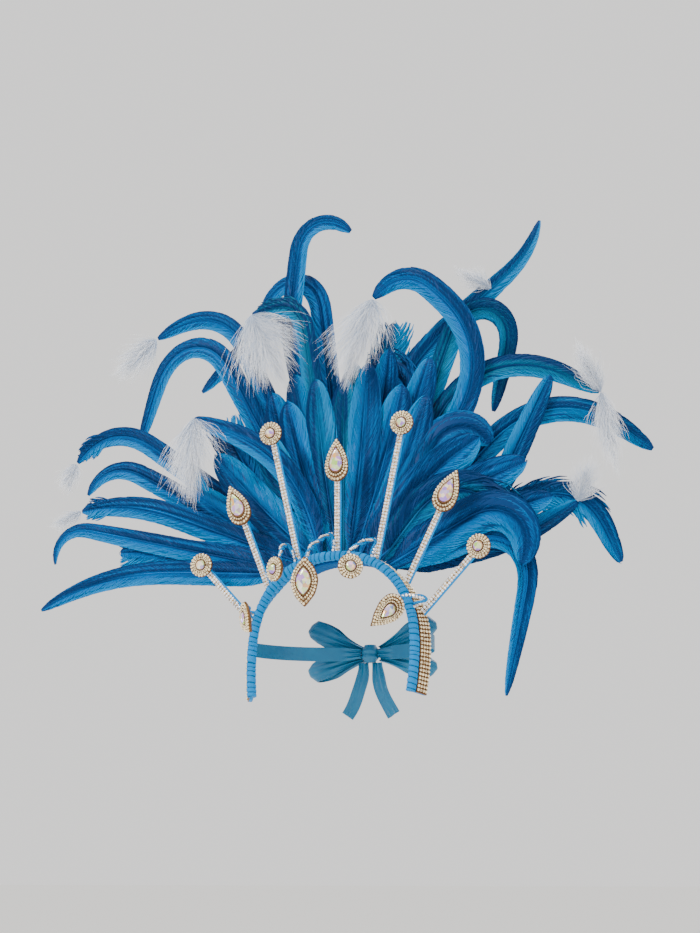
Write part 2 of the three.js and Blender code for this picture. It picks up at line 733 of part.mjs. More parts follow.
// A bow loop: ribbon that leaves the knot, turns at its full length and comes back.
// spread raises or lowers its start and rise its far end.
function bowLoop(side, spread, rise) {
  const path = [
    [0, 0.25],
    [0.35, 0.8],
    [0.7, 1],
    [0.95, 0.6],
    [1, 0],
    [0.95, -0.6],
    [0.7, -1],
    [0.35, -0.8],
    [0, -0.25],
  ];
  const startX = knotWidth / 2 + 3 * seatGap;
  const points = path.map(
    ([out, bulge]) =>
      new THREE.Vector3(
        side * (startX + out * loopLength),
        headBack + loopSetBack + bulge * loopPuff,
        tieHeight + spread + rise * out,
      ),
  );
  const curve = smoothPath(points, loopSteps);
  const widths = curve.map((point) => {
    const out = (Math.abs(point.x) - startX) / loopLength;
    return loopRibbonWidth * (0.4 + 0.6 * ease(out, 0, 0.7));
  });
  return ribbonStrip(curve, widths);
}

// A tail: the ribbon's end, hanging from under the knot and drifting outward.
function bowTail(side) {
  const top = tieHeight - knotHeight / 2 - seatGap;
  const points = [0, 0.25, 0.5, 0.75, 1].map(
    (share) =>
      new THREE.Vector3(
        side * (ribbonWidth / 2 + seatGap + tailSpread * share * share),
        headBack,
        top - tailLength * share,
      ),
  );
  const frames = points.map((point) => ({ point, across: new THREE.Vector3(1, 0, 0), up: backward }));
  const half = ribbonWidth / 2;
  const outline = [[-1, -1], [1, -1], [1, 1], [-1, 1]].map(([a, b]) => [
    a * half,
    (b * ribbonThickness) / 2,
  ]);
  return sweep(frames, outline);
}

function buildBow() {
  for (const [name, side] of [["left", -1], ["right", 1]]) {
    const loops = [
      bowLoop(side, loopSpread / 2, loopUpperRise),
      bowLoop(side, -loopSpread / 2, -loopLowerFall),
    ];
    place("bow_loops_" + name, fuse(loops), bowTeal);
    place("bow_tail_" + name, bowTail(side), bowTeal);
  }
}

buildArch();
buildTrim();
stalkRows.forEach(buildStalk);
foreheadRows.forEach(buildForehead);
buildPad();
Object.keys(tierDepths).forEach(buildTier);
puffRows.forEach(buildPuff);
buildTie("tie_left", -1);
buildTie("tie_right", 1);
buildKnot();
buildBow();

export default headdress;
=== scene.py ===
import bpy
import numpy as np
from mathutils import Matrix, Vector


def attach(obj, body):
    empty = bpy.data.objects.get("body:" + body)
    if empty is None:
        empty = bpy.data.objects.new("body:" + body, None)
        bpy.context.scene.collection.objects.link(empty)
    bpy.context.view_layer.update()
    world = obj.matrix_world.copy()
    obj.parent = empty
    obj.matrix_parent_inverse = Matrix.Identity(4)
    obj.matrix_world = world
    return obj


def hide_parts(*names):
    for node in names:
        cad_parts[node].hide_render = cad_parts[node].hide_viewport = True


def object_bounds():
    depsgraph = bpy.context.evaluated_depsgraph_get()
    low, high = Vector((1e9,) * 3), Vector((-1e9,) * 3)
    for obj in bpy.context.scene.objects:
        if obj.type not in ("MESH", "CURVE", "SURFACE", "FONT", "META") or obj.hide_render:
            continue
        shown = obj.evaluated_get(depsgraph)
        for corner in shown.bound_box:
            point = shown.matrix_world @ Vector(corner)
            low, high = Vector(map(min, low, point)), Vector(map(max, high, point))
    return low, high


bl_info = {
    "name": "Showgirl Feather Headdress",
    "version": (1, 0, 0),
    "blender": (4, 5, 0),
    "location": "View3D > Sidebar > Headdress",
    "description": "Feathers, marabou, jewels and ribbons of a showgirl headdress on its arch",
    "category": "Add Mesh",
}

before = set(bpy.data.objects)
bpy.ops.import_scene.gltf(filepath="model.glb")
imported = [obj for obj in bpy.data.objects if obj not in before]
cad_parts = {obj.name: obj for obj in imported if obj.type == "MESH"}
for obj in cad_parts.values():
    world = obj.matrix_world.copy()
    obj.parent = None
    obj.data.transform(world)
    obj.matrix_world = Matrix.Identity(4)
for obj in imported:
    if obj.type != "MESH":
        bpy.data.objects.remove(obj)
CAD_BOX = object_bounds()

SEAT_GAP = 0.0003
SIDEWAYS = np.array([1.0, 0.0, 0.0])
BACKWARD = np.array([0.0, 1.0, 0.0])
FORWARD = np.array([0.0, -1.0, 0.0])
UPWARD = np.array([0.0, 0.0, 1.0])

# Arch: a superellipse with a straight leg at each end, wound with ribbon.
ARCH_SEED = 11
ARCH_HALF_WIDTH = 0.096
ARCH_RISE = 0.110
ARCH_LEG = 0.043
ARCH_SQUARENESS = 2.3
LEG_TAPER = 0.003
LEG_FORWARD = 0.010
LEG_SHARE = 0.2
ROLL_RADIUS = 0.005
ROLL_SIDES = 30
RIM_SIDES = 5
BAND_GAP = 0.001
BAND_WIDTH = 0.016
BAND_THICKNESS = 0.0035
BAND_SIDES = 8
BAND_FLARE = 30
FLARE_FROM = 0.36
FLARE_FULL = 0.75
WRAP_STEP = 0.0009
WRAP_SLANT = 0.7
WRAP_HEIGHT = 0.0008
WRAP_GAP = 0.0003
WRAP_SINK = 0.00015
SLIP_KNOTS = 60
SLIP_REACH = 0.3
TURN_HEIGHTS = (0.6, 1.0)
CREASE_AFTER = 0.16
CREASE_BEFORE = 0.1
ARCH_STEPS = 1600
ARCH_FRAME_STEP = 0.002
SPLINE_STEPS = 24

# Trim on the band.
TRIM_SEED = 12
TRIM_WIDTH = 0.015
TRIM_HEIGHT = 0.0026
TRIM_COLUMNS = 4
TRIM_END = 0.985
TRIM_BACKING = 0.0009
BACKING_STEP = 0.002
TRIM_SEAT = 0.0013
TRIM_STONE = 0.00158

# Rhinestones: radii and heights of a cup and of its stone, as shares of the stone's radius.
STONE_SIDES = 8
CUP_ROWS = np.array([(0.8, -0.5), (1.08, -0.35), (1.12, 0.2), (1.0, 0.3), (0.9, 0.15)])
CUT_ROWS = np.array([(0.7, 0.1), (1.0, 0.35), (0.9, 0.62), (0.5, 0.95)])

# Jewels: length and width by form. The tray's rings and the cut of the centre stone are shares of
# the outline and of the height, and a row of stones has a share, a radius and a height.
JEWEL_SIZES = {"round": (0.027, 0.027), "drop": (0.050, 0.028), "marquise": (0.054, 0.031)}
JEWEL_HEIGHT = 0.006
DROP_SWELL = 0.77
MARQUISE_SWELL = 0.8
OUTLINE_STEPS = 721
SMALL_CENTRE = 0.74
TRAY_SIDES = 96
TRAY_RIM = ((0.93, 0.0), (0.99, 0.18), (0.985, 0.4), (0.9, 0.5))
TRAY_WELL = ((0.64, 0.62), (0.6, 0.98), (0.555, 0.98), (0.54, 0.6))
SCALLOPS = 8
SCALLOP_DEPTH = 0.012
JEWEL_ROWS = ((0.88, 0.00155, 0.56), (0.7, 0.0012, 0.7))
INNER_ROW = (0.545, 0.0009, 0.76)
STONE_SPACING = 2.35
CENTRE_SIDES = {"round": 20, "drop": 28, "marquise": 28}
CENTRE_CUT = ((0.5, 0.62, 0), (0.535, 0.95, 0), (0.44, 1.2, 1), (0.3, 1.42, 0))

# Stalks: name, foot on the arch, length, lean in degrees and the form of the jewel.
STALK_SEED = 100
SEED_STEP = 10
STALK_WIDTH = 0.0085
STALK_THICKNESS = 0.0036
STALK_COLUMNS = (-0.28, 0.12)
STALK_STONE = 0.00172
STALK_SEAT = 0.0004
STALK_STRIP = ((-0.0072, -0.0009), (-0.0008, -0.0009), (-0.0008, 0.0), (-0.0072, 0.0))
WIRE_PLACE = 0.38
WIRE_RADIUS = 0.0013
WIRE_RIB = 0.12
WIRE_TURN = 0.0022
WIRE_STEPS = 90
WIRE_SIDES = 8
STALKS = (
    ("center", 0, 0.105, 0, "drop"),
    ("inner_left", -0.46, 0.155, -13, "round"),
    ("inner_right", 0.46, 0.153, 12, "round"),
    ("middle_left", -0.8, 0.108, -22, "drop"),
    ("middle_right", 0.8, 0.110, 27, "drop"),
    ("outer_left", -0.955, 0.092, -43, "round"),
    ("outer_right", 0.955, 0.095, 44, "round"),
)

# Forehead jewels: foot on the arch, form, centre, how far it turns outward and its tilt.
FOREHEAD_SEED = 200
FOREHEAD = (
    ("middle", 0, "marquise", (0, -0.079, -0.035), 0, 0),
    ("left", -0.44, "round", (-0.043, -0.058, -0.016), -30, 0),
    ("right", 0.44, "round", (0.043, -0.058, -0.018), 30, 0),
    ("temple_left", -0.93, "drop", (-0.080, -0.050, -0.068), -50, -50),
    ("temple_right", 0.93, "drop", (0.080, -0.050, -0.068), 50, 50),
)
ARM_RADIUS = 0.0027
ARM_RISE = 0.016
ARM_KNEE = 0.25
ARM_FORWARD = 0.45
ARM_BOW = 0.0056
ARM_SEAT = 0.1
ARM_STAND_OFF = 0.002
ARM_STEPS = 120
ARM_TWIST = 0.030
ARM_STRANDS = ((-1, 0.0014), (1, 0.0011))
ARM_STONE = 0.0016
ARM_STONE_PITCH = 0.0035
ARM_MIDDLE = np.array([0.0, 0.04, -0.05])
STRAND_SIDES = 10
STRAND_OFFSET = 0.0012
STRAND_TURN = 0.004
STRAND_RIB = 0.14
STRAND_CREASE = 0.3
STONE_OFFSET = 0.0011

# Pad and bindings.
PAD_HALF_WIDTH = 0.064
PAD_DEPTH = 0.030
PAD_THICKNESS = 0.004
PAD_STEPS = 140
PAD_SIDES = 48
PAD_STITCHES = 24
PAD_QUILT = 0.22
BINDING_HEIGHT = 0.006
BINDING_THICKNESS = 0.003
BINDING_MARGIN = 0.004
BINDING_STEP = 0.0008
BINDING_STITCH = 0.003
BINDING_PINCH = 0.12
BINDING_SIDES = 20
ROOT_HALF_SPAN = 0.058

# Feathers: the tiers with their distance behind the arch, and one row for each feather as in the
# part.
FEATHER_SEED = 300
FEATHER_LENGTH = 0.400
QUILL_STEPS = 120
QUILL_RINGS = 48
QUILL_RADIUS = 0.0015
QUILL_TIP = 0.00025
QUILL_SIDES = 6
QUILL_SHADE = 0.15
HOOK_FROM = 0.8
VANE_WIDTH = 0.024
VANE_SPREAD = 1.25
VANE_CUP = 0.1
VANE_FULL_AT = 0.2
VANE_ROUNDNESS = 0.5
TIP_FULLNESS = 1.5
WEB_RINGS = 84
WEB_SIDES = 9
WEB_SHADE = -2.5
WEB_SHARE = 0.96
WEB_EDGE = 0.00003
WEB_CORE = 0.00005
LEFT_DYE = 0.55
DYE_RANGE = (0.1, 0.9)
TIER_DEPTHS = {
    "front_left": 0.024,
    "front_right": 0.024,
    "front_center": 0.030,
    "back_center": 0.036,
    "back_left": 0.044,
    "back_right": 0.044,
}
FEATHER_COLUMNS = (
    "root", "aim", "bend", "crest", "spread", "hook", "lean", "roll", "reach", "width", "taper",
)
FEATHER_ROWS = {
    "front_left": (
        (-1.0, -85, -34, 0.75, 0.4, 0, 3, 0, 0.86, 1.0, 3),
        (-0.92, -76, -130, 0.92, 0.15, 0, 5, 10, 0.92, 0.9, 3),
        (-0.88, -77, -10, 0.6, 0.4, 0, 6, -10, 0.62, 1.1, 6),
        (-0.8, -80, -6, 0.6, 0.4, 0, 8, 12, 0.5, 1.3, 4),
        (-0.7, -68, -30, 0.8, 0.3, 0, 7, 0, 0.84, 1.0, 4),
        (-0.62, -62, 8, 0.6, 0.4, 0, 9, -8, 0.52, 1.4, 4),
        (-0.5, -48, 6, 0.6, 0.4, 0, 8, 8, 0.5, 1.5, 4),
        (-0.4, -19, -48, 0.48, 0.42, 0, 6, 14, 0.68, 0.95, 4),
    ),
    "front_center": (
        (-0.3, -36, 10, 0.5, 0.5, 0, 7, 0, 0.48, 1.5, 4),
        (-0.22, -24, 8, 0.5, 0.5, 0, 8, 8, 0.52, 1.5, 4),
        (-0.12, -13, 4, 0.5, 0.5, 0, 8, -8, 0.56, 1.5, 4),
        (0.0, -4, 2, 0.5, 0.5, 0, 8, 6, 0.54, 1.5, 4),
        (0.1, 5, -4, 0.5, 0.5, 0, 7, -6, 0.58, 1.5, 4),
        (0.22, 16, -6, 0.5, 0.5, 0, 8, 8, 0.52, 1.6, 4),
        (0.32, 26, -10, 0.5, 0.5, 0, 7, -10, 0.5, 1.6, 4),
    ),
    "front_right": (
        (0.5, 36, 20, 0.6, 0.4, 0, 6, 8, 0.46, 1.7, 4),
        (0.62, 27, 125, 0.82, 0.22, 0, 8, -8, 0.56, 1.6, 5),
        (0.7, 50, 20, 0.6, 0.4, 0, 6, 0, 0.5, 1.6, 4),
        (0.78, 38, 125, 0.62, 0.36, 0, 4, 10, 0.52, 1.6, 4),
        (0.86, 66, 10, 0.6, 0.4, 0, 7, -6, 0.5, 1.4, 4),
        (0.92, 62, 140, 0.74, 0.3, 0, 2, 0, 0.54, 1.6, 4),
        (1.0, 72, 122, 0.46, 0.2, 0, 5, 0, 0.79, 0.95, 2),
    ),
    "back_center": (
        (-0.34, -27, 8, 0.5, 0.5, 0, 9, 0, 0.58, 1.4, 5),
        (-0.24, -18, 4, 0.5, 0.5, 0, 8, 0, 0.6, 1.4, 5),
        (-0.16, -12, -84, 0.84, 0.1, 0, 8, 0, 0.97, 0.85, 6),
        (-0.1, -17, 19, 0.6, 0.1, 128, 9, 0, 1.25, 0.85, 8),
        (0.0, -3, 3, 0.5, 0.5, 0, 9, 0, 0.6, 1.4, 5),
        (0.16, 8, -4, 0.5, 0.5, 0, 10, 0, 0.64, 1.3, 5),
        (0.28, 20, -6, 0.5, 0.5, 0, 9, 0, 0.62, 1.4, 5),
    ),
    "back_left": (
        (-0.74, -61, -100, 0.9, 0.18, 0, 9, 10, 0.95, 0.9, 5),
        (-0.64, -55, -95, 0.88, 0.22, 0, 10, -10, 1.08, 0.9, 5),
        (-0.5, -44, 14, 0.6, 0.4, 0, 8, 8, 0.6, 1.3, 4),
        (-0.4, -31, -126, 0.71, 0.16, 0, 9, 12, 1.3, 0.95, 5),
        (-0.3, -27, -82, 0.8, 0.18, 0, 11, -12, 1.2, 0.9, 5),
        (-0.2, -15, -112, 0.7, 0.12, 0, 9, 10, 1.14, 0.95, 5),
        (0.0, -11, -150, 0.82, 0.16, 0, 11, 12, 1.2, 0.9, 6),
    ),
    "back_right": (
        (0.14, 2, 4, 0.5, 0.5, 0, 14, 0, 0.76, 1.2, 7),
        (0.26, 32, -65, 0.52, 0.25, -60, 10, 10, 0.74, 1.4, 4),
        (0.34, 33, -80, 0.58, 0.25, -84, 7, -10, 1.16, 1.05, 7),
        (0.4, 2, 45, 0.45, 0.25, -32, 12, 0, 1.2, 1.25, 2.4),
        (0.5, 16, 182, 0.72, 0.14, 0, 11, 12, 1.19, 0.9, 6),
        (0.56, 21, 100, 0.66, 0.3, 0, 9, -10, 0.99, 1.0, 5),
        (0.66, 42, 88, 0.68, 0.28, 0, 9, 0, 0.97, 1.05, 4),
        (0.74, 66, -42, 0.42, 0.25, 0, 7, 10, 0.74, 0.95, 5),
        (0.82, 66, 92, 0.7, 0.2, 0, 8, -8, 0.79, 0.95, 5),
        (0.9, 80, -20, 0.6, 0.3, 0, 8, 0, 0.55, 0.9, 4),
    ),
}
FEATHERS = {
    tier: [dict(zip(FEATHER_COLUMNS, row), tier=tier) for row in rows]
    for tier, rows in FEATHER_ROWS.items()
}

# Barbs: places along a barb with its widths there, and its three corners' distances from the vane.
# Jitter, lift, losses and openings are the most that chance gives.
BARB_PLACES = np.array([0, 0.15, 0.4, 0.65, 0.86, 1.0])
BARB_WIDTHS = np.array([0.8, 1, 1, 0.9, 0.7, 0.25])
BARB_RISE = (-0.00012, -0.00012, 0.00016)
BARBS_FROM = 0.03
BARBS_TO = 0.975
BARB_TURN = 1.7
BARB_TILT = 5
BARB_JITTER = 0.3
BARB_AHEAD = 0.05
BARB_PAST = 0.0008
BARB_END = 1.004
BARB_LIFT = 0.0003
RAGGED_LOSS = 0.04
BROKEN_LOSS = 0.14
BROKEN_SHARE = 0.03
NARROW_BELOW = 0.006
NARROWEST = 0.3
ROOT_SPREAD = 30
SPLITS = 3
SPLIT_PLACES = (0.3, 0.97)
SPLIT_OPENING = 0.02
SPLIT_REACH = 0.015
TOOTH_BARBS = 6
TOOTH_PEAKS = (0.1, 0.75)
TOOTH_AHEAD = 0.04
FRAY_REACH = 0.34
FRAY_WIDENING = 0.9
NOT_FRAYED = 2

# Frayed feathers: by tier, the place in it and the share of the length where the fraying starts.
FRAYED = {
    "front_left": {2: 0.8, 3: 0.66, 4: 0.84, 5: 0.7},
    "front_right": {3: 0.55},
    "back_center": {2: 0.78},
    "back_left": {1: 0.86, 2: 0.6},
    "back_right": {0: 0.62, 1: 0.6, 8: 0.36},
}

# Marabou: name, host tier, host feather, place on it, fall, toward, length and width. The first
# eight are as in the part, and the two wisps are looser.
MARABOU_SEED = 400
PUFF_LENGTH = 0.100
PUFF_WIDTH = 0.050
PUFF_THICKNESS = 0.014
STRAND_SWELL = 0.56
STRAND_DEPTH = 1.15
STRAND_WAVE = 0.0024
STRAND_WIDTHS = np.array([1.2, 1.2, 1.1, 1, 0.9, 0.8, 0.65, 0.5, 0.25])
SHAFT_RINGS = 12
SHAFT_RADIUS = 0.0006
SHAFT_SHARE = 0.7
STRANDS_LEAST = 280
STRANDS_MORE = 520
STRAND_LEAST = 0.3
STRAND_MORE = 0.36
STRAY_STEP = 0.55
STRAY_SHARE = 0.15
WAVE_TURNS = (3, 12)
STRAND_LEAVING = 0.7
PUFFS = (
    ("left_low", "back_left", 1, 1, -160, 14, 0.35, 0.5),
    ("left_tip", "back_left", 4, 1, -132, 6, 0.62, 0.9),
    ("left_fan", "front_left", 7, 1, 168, 28, 1.1, 1.2),
    ("upper_left", "back_center", 2, 1, 150, 20, 1.1, 1.7),
    ("crown_fan", "back_right", 2, 1, -176, 33, 1.2, 1.3),
    ("right_top", "back_right", 5, 1, -20, 32, 0.55, 0.6),
    ("right_curtain", "back_right", 5, 1, 163, 36, 1.2, 0.6),
    ("right_low", "back_right", 9, 1, 24, 12, 0.45, 0.8),
    ("wisp_low", "front_left", 4, 1, -118, 4, 0.36, 0.35),
    ("wisp_top", "back_right", 3, 0.78, -58, 10, 0.42, 0.5),
)

# Ties and bow. A loop is its way out and its bulge at places along it.
RIBBON_WIDTH = 0.016
RIBBON_THICKNESS = 0.0006
RIBBON_SIDES = 41
PLEAT_START = 0.6
TIE_HEIGHT = -0.092
TIE_PLACE = 0.97
TIE_STEPS = 70
TIE_OFFSET = 0.0007
TIE_PLEATS = 2.5
TIE_GATHER = 0.35
KNOT_BACK = 0.110
KNOT_WIDTH = 0.020
KNOT_DEPTH = 0.018
KNOT_HEIGHT = 0.020
KNOT_RINGS = 30
KNOT_SIDES = 64
KNOT_FOLD = 0.05
KNOT_SINK = 0.04
LOOP_SET_BACK = 0.006
LOOP_SPREAD = 0.006
LOOP_LENGTH = 0.068
LOOP_RIBBON_WIDTH = 0.026
LOOP_STEPS = 90
LOOP_PUFF = 0.009
LOOP_ROUNDING = 0.012
LOOP_PLEATS = 3.5
LOOP_UPPER_RISE = 0.026
LOOP_LOWER_FALL = 0.014
LOOP_OUT = np.array([0, 0.35, 0.7, 0.95, 1, 0.95, 0.7, 0.35, 0])
LOOP_BULGE = np.array([0.25, 0.8, 1, 0.6, 0, -0.6, -1, -0.8, -0.25])
TAIL_LENGTH = 0.060
TAIL_SPREAD = 0.020
TAIL_STEPS = 40
TAIL_WAVE = 0.0012
TAIL_WAVE_TURN = 9
TAIL_PLEATS = 1.5

# Stage: each lamp has its place, width and power, and the camera looks at the middle of the
# object, moved aside and down.
FLOOR_REACH = 40.0
FLOOR_LEVEL = -0.6
LAMPS = {
    "key": ((-1.2, -1.8, 1.5), 0.8, 46),
    "fill": ((1.7, -1.6, 0.3), 1.4, 10),
    "back": ((0.6, 1.7, 1.5), 1.2, 16),
    "top": ((0.0, -0.2, 2.2), 1.0, 16),
}
WORLD_COLOUR = (0.90, 0.89, 0.88, 1)
WORLD_STRENGTH = 1.3
CAMERA_AZIMUTH = 22
CAMERA_ELEVATION = -12
CAMERA_DISTANCE = 2.18
CAMERA_ASIDE = 0.046
CAMERA_DOWN = 0.026
CAMERA_LENS = 74
CAMERA_SENSOR = 36


def linear(code):
    """Linear red, green and blue of a display colour written as six hexadecimal digits."""
    shown = np.array([int(code[i:i + 2], 16) for i in (0, 2, 4)]) / 255
    return tuple(np.where(shown <= 0.04045, shown / 12.92, ((shown + 0.055) / 1.055) ** 2.4))


def size(label, default, note):
    """A length in metres that a user would change."""
    return bpy.props.FloatProperty(
        name=label, description=note, default=default, min=0, unit="LENGTH",
    )


def tint(label, code, note):
    """A colour that a user would change, from its display code."""
    return bpy.props.FloatVectorProperty(
        name=label, description=note, default=linear(code), min=0, max=1, subtype="COLOR",
    )


class HeaddressSizes(bpy.types.PropertyGroup):
    """Sizes of the finish that a user would change."""

    barb_pitch: size("Barb pitch", 0.0021, "Spacing of barbs along a quill")
    barb_width: size("Barb width", 0.0013, "Width of one barb")
    barb_angle: bpy.props.FloatProperty(
        name="Barb angle", description="Angle between a barb and its quill",
        default=np.radians(19), min=0.1, max=1.4, subtype="ANGLE",
    )
    strand_width: size("Strand width", 0.00036, "Thickness of one strand of marabou")
    wrap_pitch: size("Wrap pitch", 0.0058, "Spacing of the turns of ribbon on the arch")
    chain_pitch: size("Chain pitch", 0.0037, "Spacing of the stones on the stalks")
    trim_pitch: size("Trim pitch", 0.0041, "Spacing of the rows of stones on the band")


class HeaddressColours(bpy.types.PropertyGroup):
    """Colours of the finish."""

    feather_deep: tint("Deep feather", "003264", "Shaded parts of the dyed feathers")
    feather_mid: tint("Feather", "0068b2", "Main colour of the dyed feathers")
    feather_light: tint("Light feather", "009ade", "Thin edges and lit barbs")
    feather_teal: tint("Teal feather", "006c8a", "Feathers that took more green dye")
    marabou: tint("Marabou", "fbfcff", "White down")
    ribbon: tint("Ribbon", "0084c8", "Ribbon round the arch")
    ribbon_shade: tint("Ribbon shade", "00365e", "Ribbon in the creases")
    satin: tint("Satin", "006d92", "Ribbon of the bow")
    gold: tint("Plating", "cfa760", "Pale gold plating of the cups")
    copper: tint("Trim backing", "8c5f34", "Backing of the rhinestone trim")
    stone: tint("Jewel stones", "ffecc0", "Small foiled stones of the jewels and the trim")
    chain_stone: tint("Chain stones", "fbfcff", "Clear stones of the stalks and the goose-necks")
    floor: tint("Floor", "fbfaf7", "Floor of the stage")


def smoothstep(value, low, high):
    """0 below low, 1 above high and 3x squared less 2x cubed between."""
    share = np.clip((value - low) / (high - low), 0, 1)
    return share * share * (3 - 2 * share)


def unit(vectors):
    """The vectors over their lengths."""
    return vectors / np.linalg.norm(vectors, axis=-1, keepdims=True)


def direction(x, y, z):
    """Unit vector along the three values."""
    return unit(np.array([x, y, z], float))


def around(angle):
    """Points on the unit circle: the cosine and sine of each angle."""
    return np.stack([np.cos(angle), np.sin(angle)], -1)


def circle(sides):
    """Corners of a regular polygon on the unit circle, counterclockwise."""
    return around(2 * np.pi * np.arange(sides) / sides)


def squared(points, power):
    """The points' values raised to a power, with their signs kept."""
    return np.sign(points) * np.abs(points) ** power


def wander(random, shares, knots, reach):
    """Random line: straight runs between evenly spaced random values."""
    return reach * np.interp(shares, np.linspace(0, 1, knots), random.uniform(-1, 1, knots))


def travelled(points, power=1):
    """Distance from the first point to each, every step of it raised to a power."""
    steps = np.linalg.norm(np.diff(points, axis=0), axis=1) ** power
    return np.concatenate([[0], np.cumsum(steps)])


def read_at(wanted, known, values):
    """Each column of the values at the wanted places, straight between the known ones."""
    return np.stack([np.interp(wanted, known, column) for column in values.T], -1)


def along_curve(points, count):
    """Even points on a curve, by the share of its length, with the tangents there."""
    reached = travelled(points)
    even = read_at(np.linspace(0, reached[-1], count), reached, points)
    return even, unit(np.gradient(even, axis=0)), reached[-1]


def spline(points, count):
    """Smooth curve through chosen points, evenly spaced.

    Between two of them it blends the four nearest in straight lines three times over, with knots
    at the square roots of their distances."""
    points = np.asarray(points, float)
    p = np.concatenate([2 * points[:1] - points[1:2], points, 2 * points[-1:] - points[-2:-1]])
    knot = travelled(p, 0.5)

    def blend(one, other, first, last, t):
        """Straight from one at the first knot to the other at the last."""
        return ((knot[last] - t) * one + (t - knot[first]) * other) / (knot[last] - knot[first])

    pieces = []
    for i in range(1, len(p) - 2):
        t = np.linspace(knot[i], knot[i + 1], SPLINE_STEPS)[:, None]
        a = [blend(p[k], p[k + 1], k, k + 1, t) for k in (i - 1, i, i + 1)]
        b = [blend(a[j], a[j + 1], k, k + 2, t) for j, k in enumerate((i - 1, i))]
        pieces.append(blend(b[0], b[1], i, i + 1, t))
    return along_curve(np.concatenate(pieces), count)


def carried_frames(points, first_across):
    """Two directions square to a path, carried along it without twist: across and up.

    Each across is the one before it, less its part along the path there."""
    tangents = unit(np.gradient(points, axis=0))
    across = np.zeros_like(points)
    held = np.asarray(first_across, float)
    for i, tangent in enumerate(tangents):
        held = unit(held - tangent * held.dot(tangent))
        across[i] = held
    return across, np.cross(tangents, across)


def added(name, data):
    """New object of the scene that shows the data."""
    piece = bpy.data.objects.new(name, data)
    bpy.context.scene.collection.objects.link(piece)
    return piece


class Shell:
    """Closed surfaces gathered into one mesh, with named values at the points."""

    def __init__(self, *names):
        self.points = []
        self.values = {name: [] for name in names}
        self.faces = []
        self.count = 0

    def tubes(self, points, finish=0, **values):
        """Closed tubes of shape tubes, rings, sides: quads between rings and one face at each end.

        Sides run counterclockwise as seen from ahead, so that every face looks outward."""
        points = np.asarray(points, float)
        shape = points.shape[:3]
        index = self.count + np.arange(np.prod(shape)).reshape(shape)
        here, there = index[:, :-1], index[:, 1:]
        quads = np.stack([here, np.roll(here, -1, 2), np.roll(there, -1, 2), there], -1)
        for faces in (quads.reshape(-1, 4), index[:, 0, ::-1], index[:, -1]):
            self.faces.append((faces, finish))
        self.points.append(points.reshape(-1, 3))
        for name, kept in self.values.items():
            kept.append(np.broadcast_to(values.get(name, 0.0), shape).reshape(-1))
        self.count += index.size

    def build(self, name, finishes, slot, *nodes, smooth=True):
        """The piece: it rides on the frame and stands for the nodes. The slot is not used."""
        mesh = bpy.data.meshes.new(name)
        mesh.vertices.add(self.count)
        mesh.vertices.foreach_set("co", np.concatenate(self.points).astype(np.float32).ravel())
        loops = np.concatenate([faces.ravel() for faces, _ in self.faces])
        totals = np.concatenate([np.full(len(faces), faces.shape[1]) for faces, _ in self.faces])
        worn = np.concatenate([np.full(len(faces), finish) for faces, finish in self.faces])
        mesh.loops.add(len(loops))
        mesh.loops.foreach_set("vertex_index", loops.astype(np.int32))
        mesh.polygons.add(len(totals))
        starts = np.concatenate([[0], np.cumsum(totals)[:-1]])
        mesh.polygons.foreach_set("loop_start", starts.astype(np.int32))
        mesh.polygons.foreach_set("material_index", worn.astype(np.int32))
        mesh.update(calc_edges=True)
        mesh.polygons.foreach_set("use_smooth", np.full(len(totals), smooth))
        for value, arrays in self.values.items():
            attribute = mesh.attributes.new(value, "FLOAT", "POINT")
            attribute.data.foreach_set("value", np.concatenate(arrays).astype(np.float32))
        mesh.update()
        for finish in finishes:
            mesh.materials.append(finish)
        piece = added(name, mesh)
        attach(piece, "root")
        if nodes:
            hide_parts(*nodes)
        return piece


def rings_of(centre, across, up, profile):
    """Ring points: centre plus the profile's two values along across and up."""
    profile = np.asarray(profile, float)
    return (
        centre[..., None, :]
        + across[..., None, :] * profile[..., 0:1]
        + up[..., None, :] * profile[..., 1:2]
    )


def cut_stones(shell, centres, right, up, radius, metal, glass, random):
    """Rhinestones: at each centre an eight-sided cut stone in a turned cup.

    Both are polygon rings with the radii and heights of their rows times the radius. The heights
    follow the cross product of right and up, which are two directions or two arrays of them."""
    tone = random.random(len(centres))[:, None, None]
    right, up = (np.broadcast_to(given, centres.shape)[:, None] for given in (right, up))
    for rows, finish in ((CUP_ROWS, metal), (CUT_ROWS, glass)):
        radii, heights = rows.T * radius
        middle = centres[:, None] + np.cross(right, up) * heights[:, None]
        profile = circle(STONE_SIDES) * radii[:, None, None]
        shell.tubes(rings_of(middle, right, up, profile), finish, tone=tone)


class Wire:
    """A node socket that takes part in Python expressions."""

    def __init__(self, finish, socket):
        self.finish = finish
        self.socket = socket

    def __add__(self, other):
        return self.finish.maths("ADD", self, other)

    def __radd__(self, other):
        return self.finish.maths("ADD", other, self)

    def __sub__(self, other):
        return self.finish.maths("SUBTRACT", self, other)

    def __rsub__(self, other):
        return self.finish.maths("SUBTRACT", other, self)

    def __mul__(self, other):
        return self.finish.maths("MULTIPLY", self, other)

    def __rmul__(self, other):
        return self.finish.maths("MULTIPLY", other, self)


